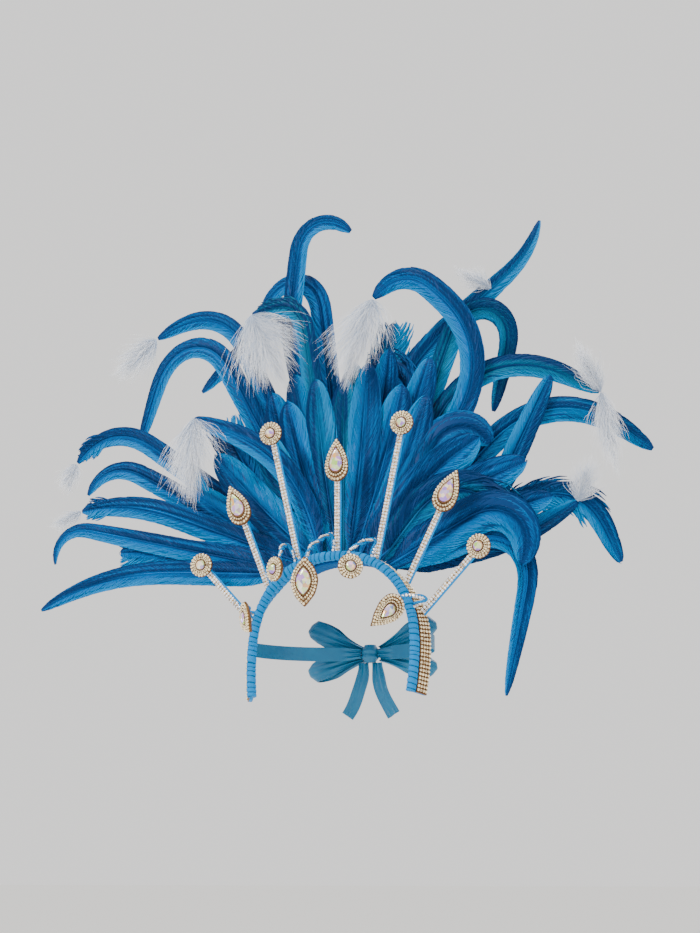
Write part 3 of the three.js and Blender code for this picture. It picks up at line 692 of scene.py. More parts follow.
class Finish:
    """One procedural material, whose shader maths is written as Python expressions."""

    def __init__(self, name):
        self.material = bpy.data.materials.new(name)
        self.material.use_nodes = True
        self.tree = self.material.node_tree
        self.tree.nodes.clear()

    def node(self, kind, settings=None, inputs=None, output=0):
        """A node of a kind, with its settings set before the values or links of its sockets."""
        node = self.tree.nodes.new(kind)
        for name, value in (settings or {}).items():
            if name == "stops":
                for _ in value[2:]:
                    node.color_ramp.elements.new(0.5)
                for element, (place, colour) in zip(node.color_ramp.elements, value):
                    element.position = place
                    element.color = (*colour, 1)
            else:
                setattr(node, name, value)
        for name, value in (inputs or {}).items():
            self.feed(node.inputs[name], value)
        return Wire(self, node.outputs[output])

    def feed(self, socket, value):
        """A wire is linked to the socket, and anything else is the socket's own value."""
        if isinstance(value, Wire):
            self.tree.links.new(value.socket, socket)
        elif socket.type == "RGBA":
            socket.default_value = (*value[:3], 1)
        else:
            socket.default_value = value

    def maths(self, operation, *values):
        """Math node on the values."""
        return self.node("ShaderNodeMath", {"operation": operation}, dict(enumerate(values)))

    def ramp(self, value, low, high):
        """Smooth 0 to 1 while the value goes from low to high."""
        settings = {"interpolation_type": "SMOOTHSTEP"}
        inputs = {"Value": value, "From Min": low, "From Max": high}
        return self.node("ShaderNodeMapRange", settings, inputs)

    def mix(self, factor, one, other):
        """Colour between one and other."""
        settings = {"data_type": "RGBA"}
        return self.node("ShaderNodeMix", settings, {0: factor, 6: one, 7: other}, output=2)

    def attribute(self, name):
        """Named value at the points."""
        return self.node("ShaderNodeAttribute", {"attribute_name": name}, output=2)

    def place(self):
        """Object coordinates."""
        return self.node("ShaderNodeTexCoord", output=3)

    def vector(self, x, y, z):
        """Vector of three values."""
        return self.node("ShaderNodeCombineXYZ", None, {"X": x, "Y": y, "Z": z})

    def noise(self, vector, scale, detail=2.0):
        """Cloudy 0 to 1."""
        inputs = {"Vector": vector, "Scale": scale, "Detail": detail}
        return self.node("ShaderNodeTexNoise", None, inputs)

    def facets(self, scale):
        """One value from 0 to 1 for each cell of the cut."""
        inputs = {"Vector": self.place(), "Scale": scale}
        cells = self.node("ShaderNodeTexVoronoi", None, inputs, output=1)
        return self.node("ShaderNodeSeparateColor", None, {"Color": cells})

    def wave(self, vector, scale):
        """Bands square to the vector's first value."""
        settings = {"bands_direction": "X"}
        inputs = {"Vector": vector, "Scale": scale}
        return self.node("ShaderNodeTexWave", settings, inputs, output=1)

    def bump(self, height, distance, strength):
        """Normal bent by the height."""
        inputs = {"Height": height, "Distance": distance, "Strength": strength}
        return self.node("ShaderNodeBump", None, inputs)

    def surface(self, **sockets):
        """Principled surface on the output, with sockets named by their labels in lower case."""
        labels = {
            name.replace("_", " ").title().replace("Ior", "IOR"): value
            for name, value in sockets.items()
        }
        shader = self.node("ShaderNodeBsdfPrincipled", None, labels)
        output = self.tree.nodes.new("ShaderNodeOutputMaterial")
        self.feed(output.inputs["Surface"], shader)
        return self.material


def once(make):
    """Each finish is made once and shared by its pieces."""
    made = []

    def kept(colours):
        if not made:
            made.append(make(colours))
        return made[0]

    return kept


@once
def feather_finish(colours):
    """Dyed cock feather: long streaks between deep and mid blue, painted as light and shade, and a
    painted highlight at the thin edges.
    """
    f = Finish("dyed_feather")
    share = f.attribute("share")
    across = f.attribute("across")
    tone = f.attribute("tone")
    dye = f.attribute("dye")
    streak = f.noise(f.vector(share, across * 1.6, dye * 40.0), 2.4)
    fine = f.noise(f.vector(share * 4.0, across * 9.0, dye * 17.0), 2.0)
    # Painted light and shade: streaks between deep and mid blue, and the web on the inner side of
    # the curl painted lighter.
    inner = f.ramp(across, -0.3, 0.5)
    lit = f.ramp(streak * 0.7 + fine * 0.18 + inner * 0.17 + tone * 0.04, 0.4, 0.65)
    dyed = f.mix(f.ramp(dye, 0.35, 0.95), colours.feather_mid, colours.feather_teal)
    body = f.mix(lit, colours.feather_deep, dyed)
    # Painted highlight: light blue on the thin edge of the inner web and on the barbs of highest
    # tone, where lit.
    edge = f.ramp(across, 0.2, 0.9) * 0.6 + f.ramp(tone, 0.8, 1.0) * 0.16
    colour = f.mix(edge * lit, body, colours.feather_light)
    return f.surface(base_color=colour, roughness=0.46, specular_ior_level=0.1)


@once
def marabou_finish(colours):
    """White down, greyer and bluer towards each strand's root and in random strands as painted
    shade, with a faint painted glow.
    """
    f = Finish("white_marabou")
    # Painted shade: grey blue towards the roots and in random strands.
    white = f.ramp(f.attribute("share") * 0.55 + f.attribute("tone") * 0.6, 0.15, 0.85)
    colour = f.mix(white, linear("8fa8c8"), colours.marabou)
    # Painted glow: a faint white emission brightens the down.
    return f.surface(
        base_color=colour, roughness=0.8, sheen_weight=0.3, sheen_roughness=0.5,
        emission_color=(1, 1, 1), emission_strength=0.1,
    )


@once
def ribbon_finish(colours):
    """Ribbed ribbon wound on: its own blue on each turn, painted shade in the creases, with fine
    ribs.
    """
    f = Finish("wound_ribbon")
    crease = f.attribute("share")
    run = f.attribute("across")
    soft = f.noise(f.place(), 160.0)
    # Painted shade: the ribbon shade colour in the creases at the edges of each turn.
    colour = f.mix(f.ramp(crease, 0.15, 1.0) * 0.75, colours.ribbon, colours.ribbon_shade)
    colour = f.mix(soft * 0.12, colour, colours.ribbon_shade)
    ribs = f.wave(f.vector(run, 0.0, 0.0), 190.0)
    return f.surface(
        base_color=colour, roughness=0.4 + soft * 0.2, specular_ior_level=0.08,
        normal=f.bump(ribs, 0.0003, 0.6),
    )


@once
def satin_finish(colours):
    """Teal satin: close weave across the ribbon with a soft gloss."""
    f = Finish("teal_satin")
    run = f.attribute("share")
    across = f.attribute("across")
    weave = f.wave(f.vector(run, across, 0.0), 320.0)
    cloud = f.noise(f.place(), 60.0, 3.0)
    colour = f.mix(cloud * 0.5, colours.satin, colours.feather_deep)
    return f.surface(
        base_color=colour, roughness=0.3 + cloud * 0.15, specular_ior_level=0.4,
        normal=f.bump(weave, 0.0002, 0.4),
    )


@once
def felt_finish(colours):
    """Blue felt of the pad and bindings."""
    f = Finish("pad_felt")
    nap = f.noise(f.place(), 900.0, 4.0)
    colour = f.mix(nap, colours.ribbon_shade, colours.feather_mid)
    return f.surface(
        base_color=colour, roughness=0.85, specular_ior_level=0.15, normal=f.bump(nap, 0.0004, 0.7),
    )


@once
def plating_finish(colours):
    """Pale gold plating, paler and darker in patches."""
    f = Finish("pale_plating")
    patch = f.noise(f.place(), 420.0, 3.0)
    colour = f.mix(f.ramp(patch, 0.3, 0.7), linear("84602c"), colours.gold)
    return f.surface(base_color=colour, metallic=0.75, roughness=0.22 + patch * 0.25)


@once
def copper_finish(colours):
    """Copper-brown backing between the stones of the trim, its darkness partly painted shade in the
    gaps.
    """
    f = Finish("trim_backing")
    patch = f.noise(f.place(), 500.0, 3.0)
    colour = f.mix(patch, colours.copper, linear("2e1a10"))
    return f.surface(base_color=colour, metallic=0.5, roughness=0.4)


def faceted(name, bright, dull, glow):
    """Foiled stone: each facet its own tone between a bright and a dull one, as painted
    reflections, with a painted glow.
    """
    f = Finish(name)
    value = f.ramp(f.facets(900.0) * 0.8 + f.attribute("tone") * 0.3, 0.2, 0.6)
    # Painted glow: the emission makes the stones shine.
    return f.surface(
        base_color=f.mix(value, dull, bright), metallic=0.25, roughness=0.07, coat_weight=0.5,
        emission_color=glow, emission_strength=0.2,
    )


@once
def jewel_stone_finish(colours):
    """Warm foiled stones of the jewels and the trim."""
    return faceted("foiled_stone", colours.stone, linear("6b5030"), (1, 0.9, 0.66))


@once
def chain_stone_finish(colours):
    """Clear stones of the stalks and the goose-necks."""
    return faceted("clear_stone", colours.chain_stone, linear("4c5560"), (0.94, 0.97, 1))


@once
def centre_stone_finish(colours):
    """Iridescent cut stone: facets of pale lilac, rose, green and straw, in cells of its cut: its
    coating's colours fixed as painted reflections, white painted highlights and a faint painted
    glow.
    """
    f = Finish("iridescent_stone")
    stops = [
        (0.0, linear("eeb4e4")),
        (0.22, linear("9c70dc")),
        (0.4, linear("fffae6")),
        (0.55, linear("a9d850")),
        (0.7, linear("fff2dc")),
        (0.85, linear("f2b04e")),
        (1.0, linear("6f90c4")),
    ]
    colour = f.node("ShaderNodeValToRGB", {"stops": stops}, {"Fac": f.facets(240.0)})
    # Painted glow: a faint emission.
    return f.surface(
        base_color=colour, metallic=0.3, roughness=0.05, coat_weight=0.5,
        emission_color=(1, 0.97, 0.95), emission_strength=0.03,
    )


def floor_finish(colours):
    """Pale floor with faint clouds."""
    f = Finish("pale_floor")
    grain = f.noise(f.place(), 6.0, 3.0)
    colour = f.mix(grain * 0.12, colours.floor, linear("f6f4f0"))
    return f.surface(base_color=colour, roughness=0.8)


def arch_point(where):
    """Superellipse from -1 at one end of the arch to 1 at the other, with straight legs.

    Its width and rise are the sine and cosine of the turn, raised to two over the squareness."""
    along = np.abs(where)
    power = 2 / ARCH_SQUARENESS
    turn = np.minimum(along / (1 - LEG_SHARE), 1) * np.pi / 2
    leg = np.maximum(along - (1 - LEG_SHARE), 0) / LEG_SHARE
    x = ARCH_HALF_WIDTH * np.sin(turn) ** power - LEG_TAPER * leg * leg
    fallen = ARCH_RISE * (1 - np.maximum(np.cos(turn), 0) ** power) + ARCH_LEG * leg
    y = -LEG_FORWARD * (fallen / (ARCH_RISE + ARCH_LEG)) ** 2
    return np.stack([np.sign(where) * x, y, ROLL_RADIUS - fallen], -1)


def arch_frame(where):
    """Point of the arch with the directions along it, outward and backward."""
    where = np.asarray(where, float)
    ahead = arch_point(np.minimum(where + ARCH_FRAME_STEP, 1))
    along = unit(ahead - arch_point(np.maximum(where - ARCH_FRAME_STEP, -1)))
    outward = unit(np.cross(along, BACKWARD))
    return arch_point(where), along, outward, np.cross(outward, along)


def band_frame(where):
    """Point of the arch with the band's two directions, turned outward down its legs.

    They turn with the smoothstep of the way along the arch."""
    point, _, outward, back = arch_frame(where)
    flare = np.radians(BAND_FLARE) * smoothstep(np.abs(where), FLARE_FROM, FLARE_FULL)
    flare = np.asarray(flare)[..., None]
    across = back * np.cos(flare) + outward * np.sin(flare)
    return point, across, outward * np.cos(flare) - back * np.sin(flare)


def arch_place(share):
    """Place on the arch whose centre line has the given share of its half width.

    Its turn is the arcsine of the share raised to half the squareness."""
    turn = np.arcsin(np.abs(share) ** (ARCH_SQUARENESS / 2))
    return np.sign(share) * turn / (np.pi / 2) * (1 - LEG_SHARE)


def arch_run(pitch, low=-1.0, high=1.0):
    """Places along the arch, evenly spaced by length, and their distances from the first."""
    dense = np.linspace(low, high, ARCH_STEPS)
    reached = travelled(arch_point(dense))
    wanted = np.linspace(0, reached[-1], max(int(reached[-1] / pitch), 2) + 1)
    return np.interp(wanted, reached, dense), wanted


def make_arch(sizes, colours):
    """Roll and band in one closed section, swept along the arch.

    A turn of ribbon stands out as a power of a sine. Its phase is the distance along the arch
    over the pitch plus a share of the angle round the roll, and each turn has its own height."""
    random = np.random.default_rng(ARCH_SEED)
    half = BAND_THICKNESS / 2
    opening = np.arcsin(half / ROLL_RADIUS)
    angle = np.linspace(opening, 2 * np.pi - opening, ROLL_SIDES)
    roll = around(angle)
    run = np.linspace(ROLL_RADIUS + BAND_GAP, ROLL_RADIUS + BAND_WIDTH - half, BAND_SIDES)
    below = np.stack([run, np.full(BAND_SIDES, -half)], -1)
    rim = around(np.linspace(-np.pi / 2, np.pi / 2, RIM_SIDES + 2)[1:-1])
    outline = np.concatenate(
        [roll * ROLL_RADIUS, below, (run[-1], 0) + half * rim, below[::-1] * (1, -1)],
    )
    flat = np.tile([0.0, 1.0], (BAND_SIDES, 1))
    normals = np.concatenate([roll, -flat, rim, flat])
    twist = np.concatenate(
        [angle / (2 * np.pi), np.zeros(BAND_SIDES + len(rim)), np.ones(BAND_SIDES)],
    )
    where, distance = arch_run(WRAP_STEP)
    point, across, up = band_frame(where)
    slip = wander(random, where / 2 + 0.5, SLIP_KNOTS, SLIP_REACH)[:, None]
    phase = distance[:, None] / sizes.wrap_pitch + WRAP_SLANT * twist + slip
    turns = np.floor(phase).astype(int)
    part = phase - turns
    height = random.uniform(*TURN_HEIGHTS, turns.max() + 2)[turns]
    relief = height * WRAP_HEIGHT * np.sin(np.pi * part ** 1.3) ** 0.6 - WRAP_GAP * (part < 0.1)
    profile = outline + normals * (relief[..., None] - WRAP_SINK)
    # Painted shade: crease is near 1 at both edges of each turn, where the ribbon is painted
    # darker.
    after, before = part / CREASE_AFTER, (1 - part) / CREASE_BEFORE
    crease = np.exp(-(after ** 2)) + np.exp(-(before ** 2))
    shell = Shell("share", "across")
    shell.tubes(
        rings_of(point, across, up, profile)[None], share=crease, across=part * sizes.wrap_pitch,
    )
    shell.build("arch_ribbon", [ribbon_finish(colours)], "ribbon_blue", "arch")


def make_trim(sizes, colours):
    """Rows of stones across the band, one row to each pitch of the arch, on a backing strip."""
    random = np.random.default_rng(TRIM_SEED)
    inner = ROLL_RADIUS + SEAT_GAP
    outer = inner + TRIM_WIDTH
    base = BAND_THICKNESS / 2 + SEAT_GAP
    top = base + TRIM_BACKING
    where, _ = arch_run(BACKING_STEP)
    point, across, up = band_frame(where)
    backing = [(inner, base), (outer, base), (outer, top), (inner, top)]
    shell = Shell("tone")
    shell.tubes(rings_of(point, across, up, backing)[None])
    where, _ = arch_run(sizes.trim_pitch, -TRIM_END, TRIM_END)
    point, across, up = band_frame(where)
    along = np.cross(across, up)
    for column in range(TRIM_COLUMNS):
        place = inner + TRIM_WIDTH * (column + 0.5) / TRIM_COLUMNS
        centres = point + across * place + up * (base + TRIM_SEAT)
        cut_stones(shell, centres, along, across, TRIM_STONE, 1, 2, random)
    finishes = [copper_finish(colours), plating_finish(colours), jewel_stone_finish(colours)]
    shell.build("trim_rhinestones", finishes, "setting_metal", "rhinestone_trim", smooth=False)


def outline_points(form, scale, count):
    """Even points on a jewel's outline, and the outline's length.

    It is width times sine and length times cosine of the angle. A drop is swollen sideways by the
    sine of half the angle and a marquise by a power of the sine."""
    length, width = JEWEL_SIZES[form]
    angle = np.linspace(0, 2 * np.pi, OUTLINE_STEPS)
    swell = {
        "drop": np.sin(angle / 2) / DROP_SWELL,
        "marquise": np.abs(np.sin(angle)) ** MARQUISE_SWELL,
        "round": 1.0,
    }[form]
    dense = np.stack([width / 2 * np.sin(angle) * swell, length / 2 * np.cos(angle)], -1) * scale
    reached = travelled(dense)
    return read_at(np.linspace(0, reached[-1], count, endpoint=False), reached, dense), reached[-1]


def make_jewel(name, form, centre, facing, tip, colours, seed):
    """A jewel: scalloped tray, two rows of small stones and a large cut centre stone.

    The tray's edge is the outline times a cosine of eight waves. Rounds and temple jewels have a
    third row round a smaller centre stone."""
    random = np.random.default_rng(seed)
    inner = SMALL_CENTRE if form == "round" or "temple" in name else 1.0
    right = np.cross(tip, facing)

    def seated(flat, height):
        """Points of the outline at a height over the jewel's back."""
        return centre + flat[..., 0:1] * right + flat[..., 1:2] * tip + height * facing

    shell = Shell("tone")
    wave = np.cos(np.arange(TRAY_SIDES) * 2 * np.pi * SCALLOPS / TRAY_SIDES)
    scallop = (1 + SCALLOP_DEPTH * wave)[:, None]
    rings = []
    for scale, height in (*TRAY_RIM, *((scale * inner, height) for scale, height in TRAY_WELL)):
        flat, _ = outline_points(form, scale, TRAY_SIDES)
        rings.append(seated(flat[::-1] * scallop, height * JEWEL_HEIGHT))
    shell.tubes(np.array(rings)[None], 2)
    for scale, radius, height in JEWEL_ROWS if inner == 1 else (*JEWEL_ROWS, INNER_ROW):
        _, run = outline_points(form, scale, 1)
        flat, _ = outline_points(form, scale, int(run / (STONE_SPACING * radius)))
        centres = seated(flat, height * JEWEL_HEIGHT)
        cut_stones(shell, centres, right, tip, radius, 0, 1, random)
    finishes = [plating_finish(colours), jewel_stone_finish(colours), copper_finish(colours)]
    shell.build(name + "_tray", finishes, "setting_metal", name + "_setting", smooth=False)

    stone = Shell()
    rings = []
    for scale, height, turn in CENTRE_CUT:
        flat, _ = outline_points(form, scale * inner, 2 * CENTRE_SIDES[form])
        flat = np.roll(flat[turn::2][::-1], turn, 0)
        rings.append(seated(flat, height * JEWEL_HEIGHT))
    stone.tubes(np.array(rings)[None])
    finishes = [centre_stone_finish(colours)]
    stone.build(name + "_cut_stone", finishes, "stone_glass", name + "_stone", smooth=False)


def make_stalk(row, sizes, colours, seed):
    """A stalk: two rows of stones on a flat strip, the wrapped wire beside them and the jewel.

    The wire's radius swells by a sine of the distance along it, one wave to a turn of ribbon."""
    name, foot, reach, lean, form = row
    random = np.random.default_rng(seed)
    point, across, up = band_frame(np.array(arch_place(foot)))
    stand_off = BAND_THICKNESS / 2 + TRIM_HEIGHT + 2 * SEAT_GAP
    start = point + across * (ROLL_RADIUS + TRIM_WIDTH / 2) + up * stand_off
    along = direction(np.sin(np.radians(lean)), 0, np.cos(np.radians(lean)))
    side = np.cross(along, FORWARD)
    up = np.cross(along, side)
    shell = Shell("tone", "share", "across")
    count = int(reach / sizes.chain_pitch)
    middle = start + along * ((np.arange(count) + 0.6) * reach / count)[:, None]
    for column in STALK_COLUMNS:
        centres = middle + side * (column * STALK_WIDTH) + FORWARD * STALK_SEAT
        cut_stones(shell, centres, side, along, STALK_STONE, 0, 1, random)
    rail = np.linspace(0, reach, WIRE_STEPS)
    wire = start + along * rail[:, None] + side * (WIRE_PLACE * STALK_WIDTH)
    radius = WIRE_RADIUS * (1 + WIRE_RIB * np.sin(rail / WIRE_TURN * 2 * np.pi))
    shell.tubes(rings_of(wire, side, up, circle(WIRE_SIDES) * radius[:, None, None])[None], 2)
    shell.tubes(rings_of(wire[[0, -1]], side, up, STALK_STRIP)[None])
    finishes = [plating_finish(colours), chain_stone_finish(colours), ribbon_finish(colours)]
    shell.build("chain_" + name, finishes, "setting_metal", "stalk_" + name, smooth=False)
    centre = start + along * reach + FORWARD * (STALK_THICKNESS / 2 + SEAT_GAP)
    make_jewel("jewel_" + name, form, centre, FORWARD, along, colours, seed + 1)


def make_forehead(row, colours, seed):
    """A forehead jewel on its goose-neck arm: two twisted strands with stones along the front.

    The strands wind round the path as a cosine and a sine of the distance along it, and the ribs
    of their ribbon are the size of a sine."""
    name, foot, form, centre, turn, tip = row
    random = np.random.default_rng(seed)
    length, _ = JEWEL_SIZES[form]
    turn, tip = np.radians(turn), np.radians(tip)
    facing = direction(np.sin(turn), -np.cos(turn), 0)
    sideways = np.cross(facing, UPWARD)
    upper = UPWARD * np.cos(tip) - sideways * np.sin(tip)
    seat = np.array(centre) - facing * (ARM_RADIUS + SEAT_GAP)
    point, _, outward, _ = arch_frame(np.array(arch_place(foot)))
    start = point + outward * (ROLL_RADIUS + SEAT_GAP)
    reached = seat + upper * (0.5 * length + ARM_RADIUS) - facing * ARM_STAND_OFF
    knee = start + outward * ARM_RISE + FORWARD * (ARM_KNEE * ARM_RISE)
    bridge = knee + (reached - knee) * ARM_FORWARD + outward * ARM_BOW
    corners = [start, knee, bridge, reached, seat + upper * ARM_SEAT * length]
    path, tangents, run = spline(corners, ARM_STEPS)
    across, up = carried_frames(path, sideways)
    shell = Shell("tone", "share", "across")
    distance = np.linspace(0, run, ARM_STEPS)
    winding = 2 * np.pi * distance / ARM_TWIST + np.pi / 2
    shift = np.cos(winding)[:, None] * across + np.sin(winding)[:, None] * up
    rib = np.sin(distance / STRAND_TURN * np.pi)
    # Painted shade: crease is near 1 between the ribs, where the strands' ribbon is painted darker.
    crease = np.exp(-(rib / STRAND_CREASE) ** 2)[:, None]
    for side, radius in ARM_STRANDS:
        swell = radius * (1 + STRAND_RIB * np.abs(rib))
        profile = circle(STRAND_SIDES) * swell[:, None, None]
        strand = path + side * STRAND_OFFSET * shift
        shell.tubes(rings_of(strand, across, up, profile)[None], 2, share=crease)
    pick = np.linspace(1, ARM_STEPS - 2, int(run / ARM_STONE_PITCH)).astype(int)
    right = tangents[pick]
    outer = unit(path[pick] - ARM_MIDDLE)
    outer = unit(outer - right * (outer * right).sum(-1, keepdims=True))
    seats = path[pick] + STONE_OFFSET * (shift[pick] + outer)
    cut_stones(shell, seats, right, np.cross(outer, right), ARM_STONE, 0, 1, random)
    finishes = [plating_finish(colours), chain_stone_finish(colours), ribbon_finish(colours)]
    shell.build("gooseneck_" + name, finishes, "ribbon_blue", "arm_" + name, smooth=False)
    make_jewel("forehead_" + name, form, np.array(centre), facing, -upper, colours, seed + 1)


def pad_frame(where):
    """Point on the arch's inner side, with the directions backward and outward."""
    point, _, outward, _ = arch_frame(where)
    return point - outward * ROLL_RADIUS, BACKWARD, outward


def make_pad(colours):
    """Crescent pad: a flat rounded section along the arch, quilted by rows of stitches.

    The section is a circle whose cosine and sine are raised to powers, and the stitches are the
    eighth power of a cosine along the arch."""
    edge = arch_place(PAD_HALF_WIDTH / ARCH_HALF_WIDTH)
    where = np.linspace(-edge, edge, PAD_STEPS)
    point, across, up = pad_frame(where)
    front = ROLL_RADIUS + BAND_WIDTH + SEAT_GAP
    swell = squared(circle(PAD_SIDES)[:, 0], 0.35)
    rise = squared(circle(PAD_SIDES)[:, 1], 0.6)
    quilt = 1 - PAD_QUILT * np.cos(np.linspace(0, PAD_STITCHES * np.pi, PAD_STEPS)[:, None]) ** 8
    ends = np.minimum(1, np.sqrt(1 - (where / edge) ** 2) * 2.2 + 0.25)[:, None]
    depth = front + PAD_DEPTH * (0.5 + 0.5 * swell)
    height = PAD_THICKNESS * (0.5 + 0.5 * rise * quilt * ends)
    profile = np.stack(np.broadcast_arrays(depth, height), -1)
    shell = Shell()
    shell.tubes(rings_of(point, across, up, profile)[None])
    piece = shell.build("pad_cover", [felt_finish(colours)], "ribbon_blue", "feather_pad")


class Quill:
    """The line of a feather: its points and directions at any share of its length."""

    def __init__(self, feather):
        """Headings turn with the share of the length, and equal steps along them are added up."""
        share = (np.arange(QUILL_STEPS) + 0.5) / QUILL_STEPS
        crest, spread = feather["crest"], feather["spread"]
        turn = feather["bend"] * smoothstep(share, crest - spread, crest + spread)
        hook = feather["hook"] * smoothstep(share, HOOK_FROM, 1)
        heading = np.radians(feather["aim"] + turn + hook)
        lean = np.full(QUILL_STEPS, np.radians(feather["lean"]))
        headings = np.stack(
            [np.cos(lean) * np.sin(heading), np.sin(lean), np.cos(lean) * np.cos(heading)], -1,
        )
        where = arch_place(feather["root"] * ROOT_HALF_SPAN / ARCH_HALF_WIDTH)
        point, _, up = pad_frame(np.array(where))
        start = point + up * (PAD_THICKNESS + SEAT_GAP + 0.5 * BINDING_HEIGHT)
        start[1] = TIER_DEPTHS[feather["tier"]]
        self.length = feather["reach"] * FEATHER_LENGTH
        self.inner = 1 if feather["bend"] + feather["hook"] > 0 else -1
        walked = np.cumsum(headings * self.length / QUILL_STEPS, axis=0)
        self.points = start + np.concatenate([np.zeros((1, 3)), walked])
        self.shares = np.linspace(0, 1, QUILL_STEPS + 1)
        self.tangents = unit(np.gradient(self.points, axis=0))
        flat = unit(np.cross(BACKWARD, self.tangents))
        face = np.cross(self.tangents, flat)
        roll = (np.radians(feather["roll"]) * self.shares)[:, None]
        self.wide = flat * np.cos(roll) + face * np.sin(roll)
        self.thick = np.cross(self.tangents, self.wide)

    def read(self, values, share):
        """The values at a share of the length."""
        return read_at(np.clip(share, 0, 1), self.shares, values)

    def at(self, share, wide, thick):
        """Place at a share of the length, off the line by distances along the vane and off it."""
        beyond = np.maximum(share - 1, 0)[..., None] * self.length
        return (
            self.read(self.points, share)
            + self.read(self.tangents, share) * beyond
            + self.read(self.wide, share) * wide[..., None]
            + self.read(self.thick, share) * thick[..., None]
        )


def vane_half_width(feather, share):
    """Half width of the vane: a rise from the bare quill and a rounded taper to the tip.

    The rise is a smoothstep, and the taper is the root of 1 less a power of the share. The barbs
    spread a quarter wider than the part's plain vane, and fuller at a blunt tip."""
    rise = smoothstep(share, -0.2 * VANE_FULL_AT, VANE_FULL_AT)
    taper = feather["taper"] * (TIP_FULLNESS if feather["taper"] > 3 else 1)
    fall = np.maximum(1 - np.clip(share, 0, 1) ** taper, 0) ** VANE_ROUNDNESS
    return feather["width"] * VANE_SPREAD * VANE_WIDTH / 2 * rise * fall


def add_web(shell, feather, quill, dye):
    """Web of a vane: a thin closed sheet from edge to edge that the barbs lie on.

    Its set-back is the cup times the half width times the squared share of the way to the edge."""
    share = np.linspace(0.01, 0.996, WEB_RINGS)[:, None]
    half = WEB_SHARE * vane_half_width(feather, share)
    u = np.linspace(-1, 1, WEB_SIDES)
    u = np.concatenate([u, u[::-1]])
    side = np.repeat([-1.0, 1.0], WEB_SIDES)
    depth = side * (WEB_EDGE + WEB_CORE * (1 - u ** 2))
    points = quill.at(share + 0 * u, half * u, VANE_CUP * half * u ** 2 + depth)
    # The web's tone WEB_SHADE paints it deep blue: painted shade where it shows between the barbs.
    shell.tubes(points[None], share=share, across=quill.inner * u, tone=WEB_SHADE, dye=dye)


def add_barbs(shell, feather, quill, side, dye, frayed, sizes, random):
    """Barbs of one side, each from the quill out to the vane's edge, where it turns along it.

    Out of the quill it covers 1 less (1 - t) to the 1.7 of the half width at the share t of its own
    run. At a few splits the outer ends are drawn apart. Past the frayed share the barbs cling
    together in teeth: each tooth rises and falls evenly over its barbs, out over the edge."""
    count = int(quill.length * (BARBS_TO - BARBS_FROM) / sizes.barb_pitch)
    jitter = random.uniform(-BARB_JITTER, BARB_JITTER, count) * sizes.barb_pitch / quill.length
    root = np.linspace(BARBS_FROM, BARBS_TO, count) + jitter
    angle = sizes.barb_angle + np.radians(ROOT_SPREAD) * (1 - smoothstep(root, 0.0, 0.3))
    half = vane_half_width(feather, np.minimum(root + BARB_AHEAD, 1)) + BARB_PAST
    run = np.minimum(half / np.tan(angle) / quill.length, BARB_END - root)[:, None]
    places = random.uniform(*SPLIT_PLACES, SPLITS)
    opening = random.uniform(0.0, SPLIT_OPENING, SPLITS)
    away = root[:, None] - places
    split = (np.sign(away) * opening * np.exp(-np.abs(away) / SPLIT_REACH)).sum(1)
    t = BARB_PLACES
    share = root[:, None] + run * t + np.minimum(split, 1.0 - root)[:, None] * t ** 2
    ragged = 1 - random.uniform(0, RAGGED_LOSS, count)
    ragged = ragged - BROKEN_LOSS * (random.random(count) < BROKEN_SHARE)
    tooth, place = np.divmod(np.arange(count), TOOTH_BARBS)
    peak = random.uniform(*TOOTH_PEAKS, count // TOOTH_BARBS + 1)[tooth]
    torn = (root > frayed) & (root < frayed + FRAY_REACH)
    loose = torn * (1 - np.abs(2 * place / (TOOTH_BARBS - 1) - 1)) * peak
    full = vane_half_width(feather, share)
    local = vane_half_width(feather, np.minimum(share, root[:, None] + TOOTH_AHEAD))
    edge = np.where(loose[:, None] > 0, local, full) * (ragged + loose)[:, None]
    u = 1 - (1 - t) ** BARB_TURN
    wide = side * edge * u
    lift = random.uniform(-BARB_LIFT, BARB_LIFT, count)[:, None] * t
    path = quill.at(share, wide, VANE_CUP * edge * u ** 2 + lift)
    tangent = unit(np.gradient(path, axis=1))
    across = unit(np.cross(quill.read(quill.thick, share), tangent))
    tilt = np.radians(BARB_TILT) * side
    leaned = across * np.cos(tilt) + np.cross(tangent, across) * np.sin(tilt)
    narrow = np.clip(vane_half_width(feather, root) / NARROW_BELOW, NARROWEST, 1)
    narrow = (narrow * (1 + FRAY_WIDENING * (loose > 0)))[:, None, None]
    breadth = sizes.barb_width / 2 * narrow * BARB_WIDTHS[:, None] * (-1, 1, 0)
    profile = np.stack(np.broadcast_arrays(breadth, np.minimum(narrow, 1) * BARB_RISE), -1)
    shell.tubes(
        rings_of(path, leaned, np.cross(tangent, leaned), profile), share=share[..., None],
        across=(quill.inner * wide / np.maximum(full, 0.001))[..., None],
        tone=random.random(count)[:, None, None], dye=dye,
    )


def add_quill(shell, quill, dye):
    """Quill: a six-sided tube that narrows evenly to its tip."""
    share = np.linspace(0, 0.985, QUILL_RINGS)
    still = np.zeros(QUILL_RINGS)
    radius = QUILL_RADIUS + (QUILL_TIP - QUILL_RADIUS) * share
    profile = circle(QUILL_SIDES) * radius[:, None, None]
    across = quill.read(quill.wide, share)
    up = np.cross(quill.read(quill.tangents, share), across)
    rings = rings_of(quill.at(share, still, still), across, up, profile)
    shell.tubes(rings[None], share=share[:, None], tone=QUILL_SHADE, dye=dye)


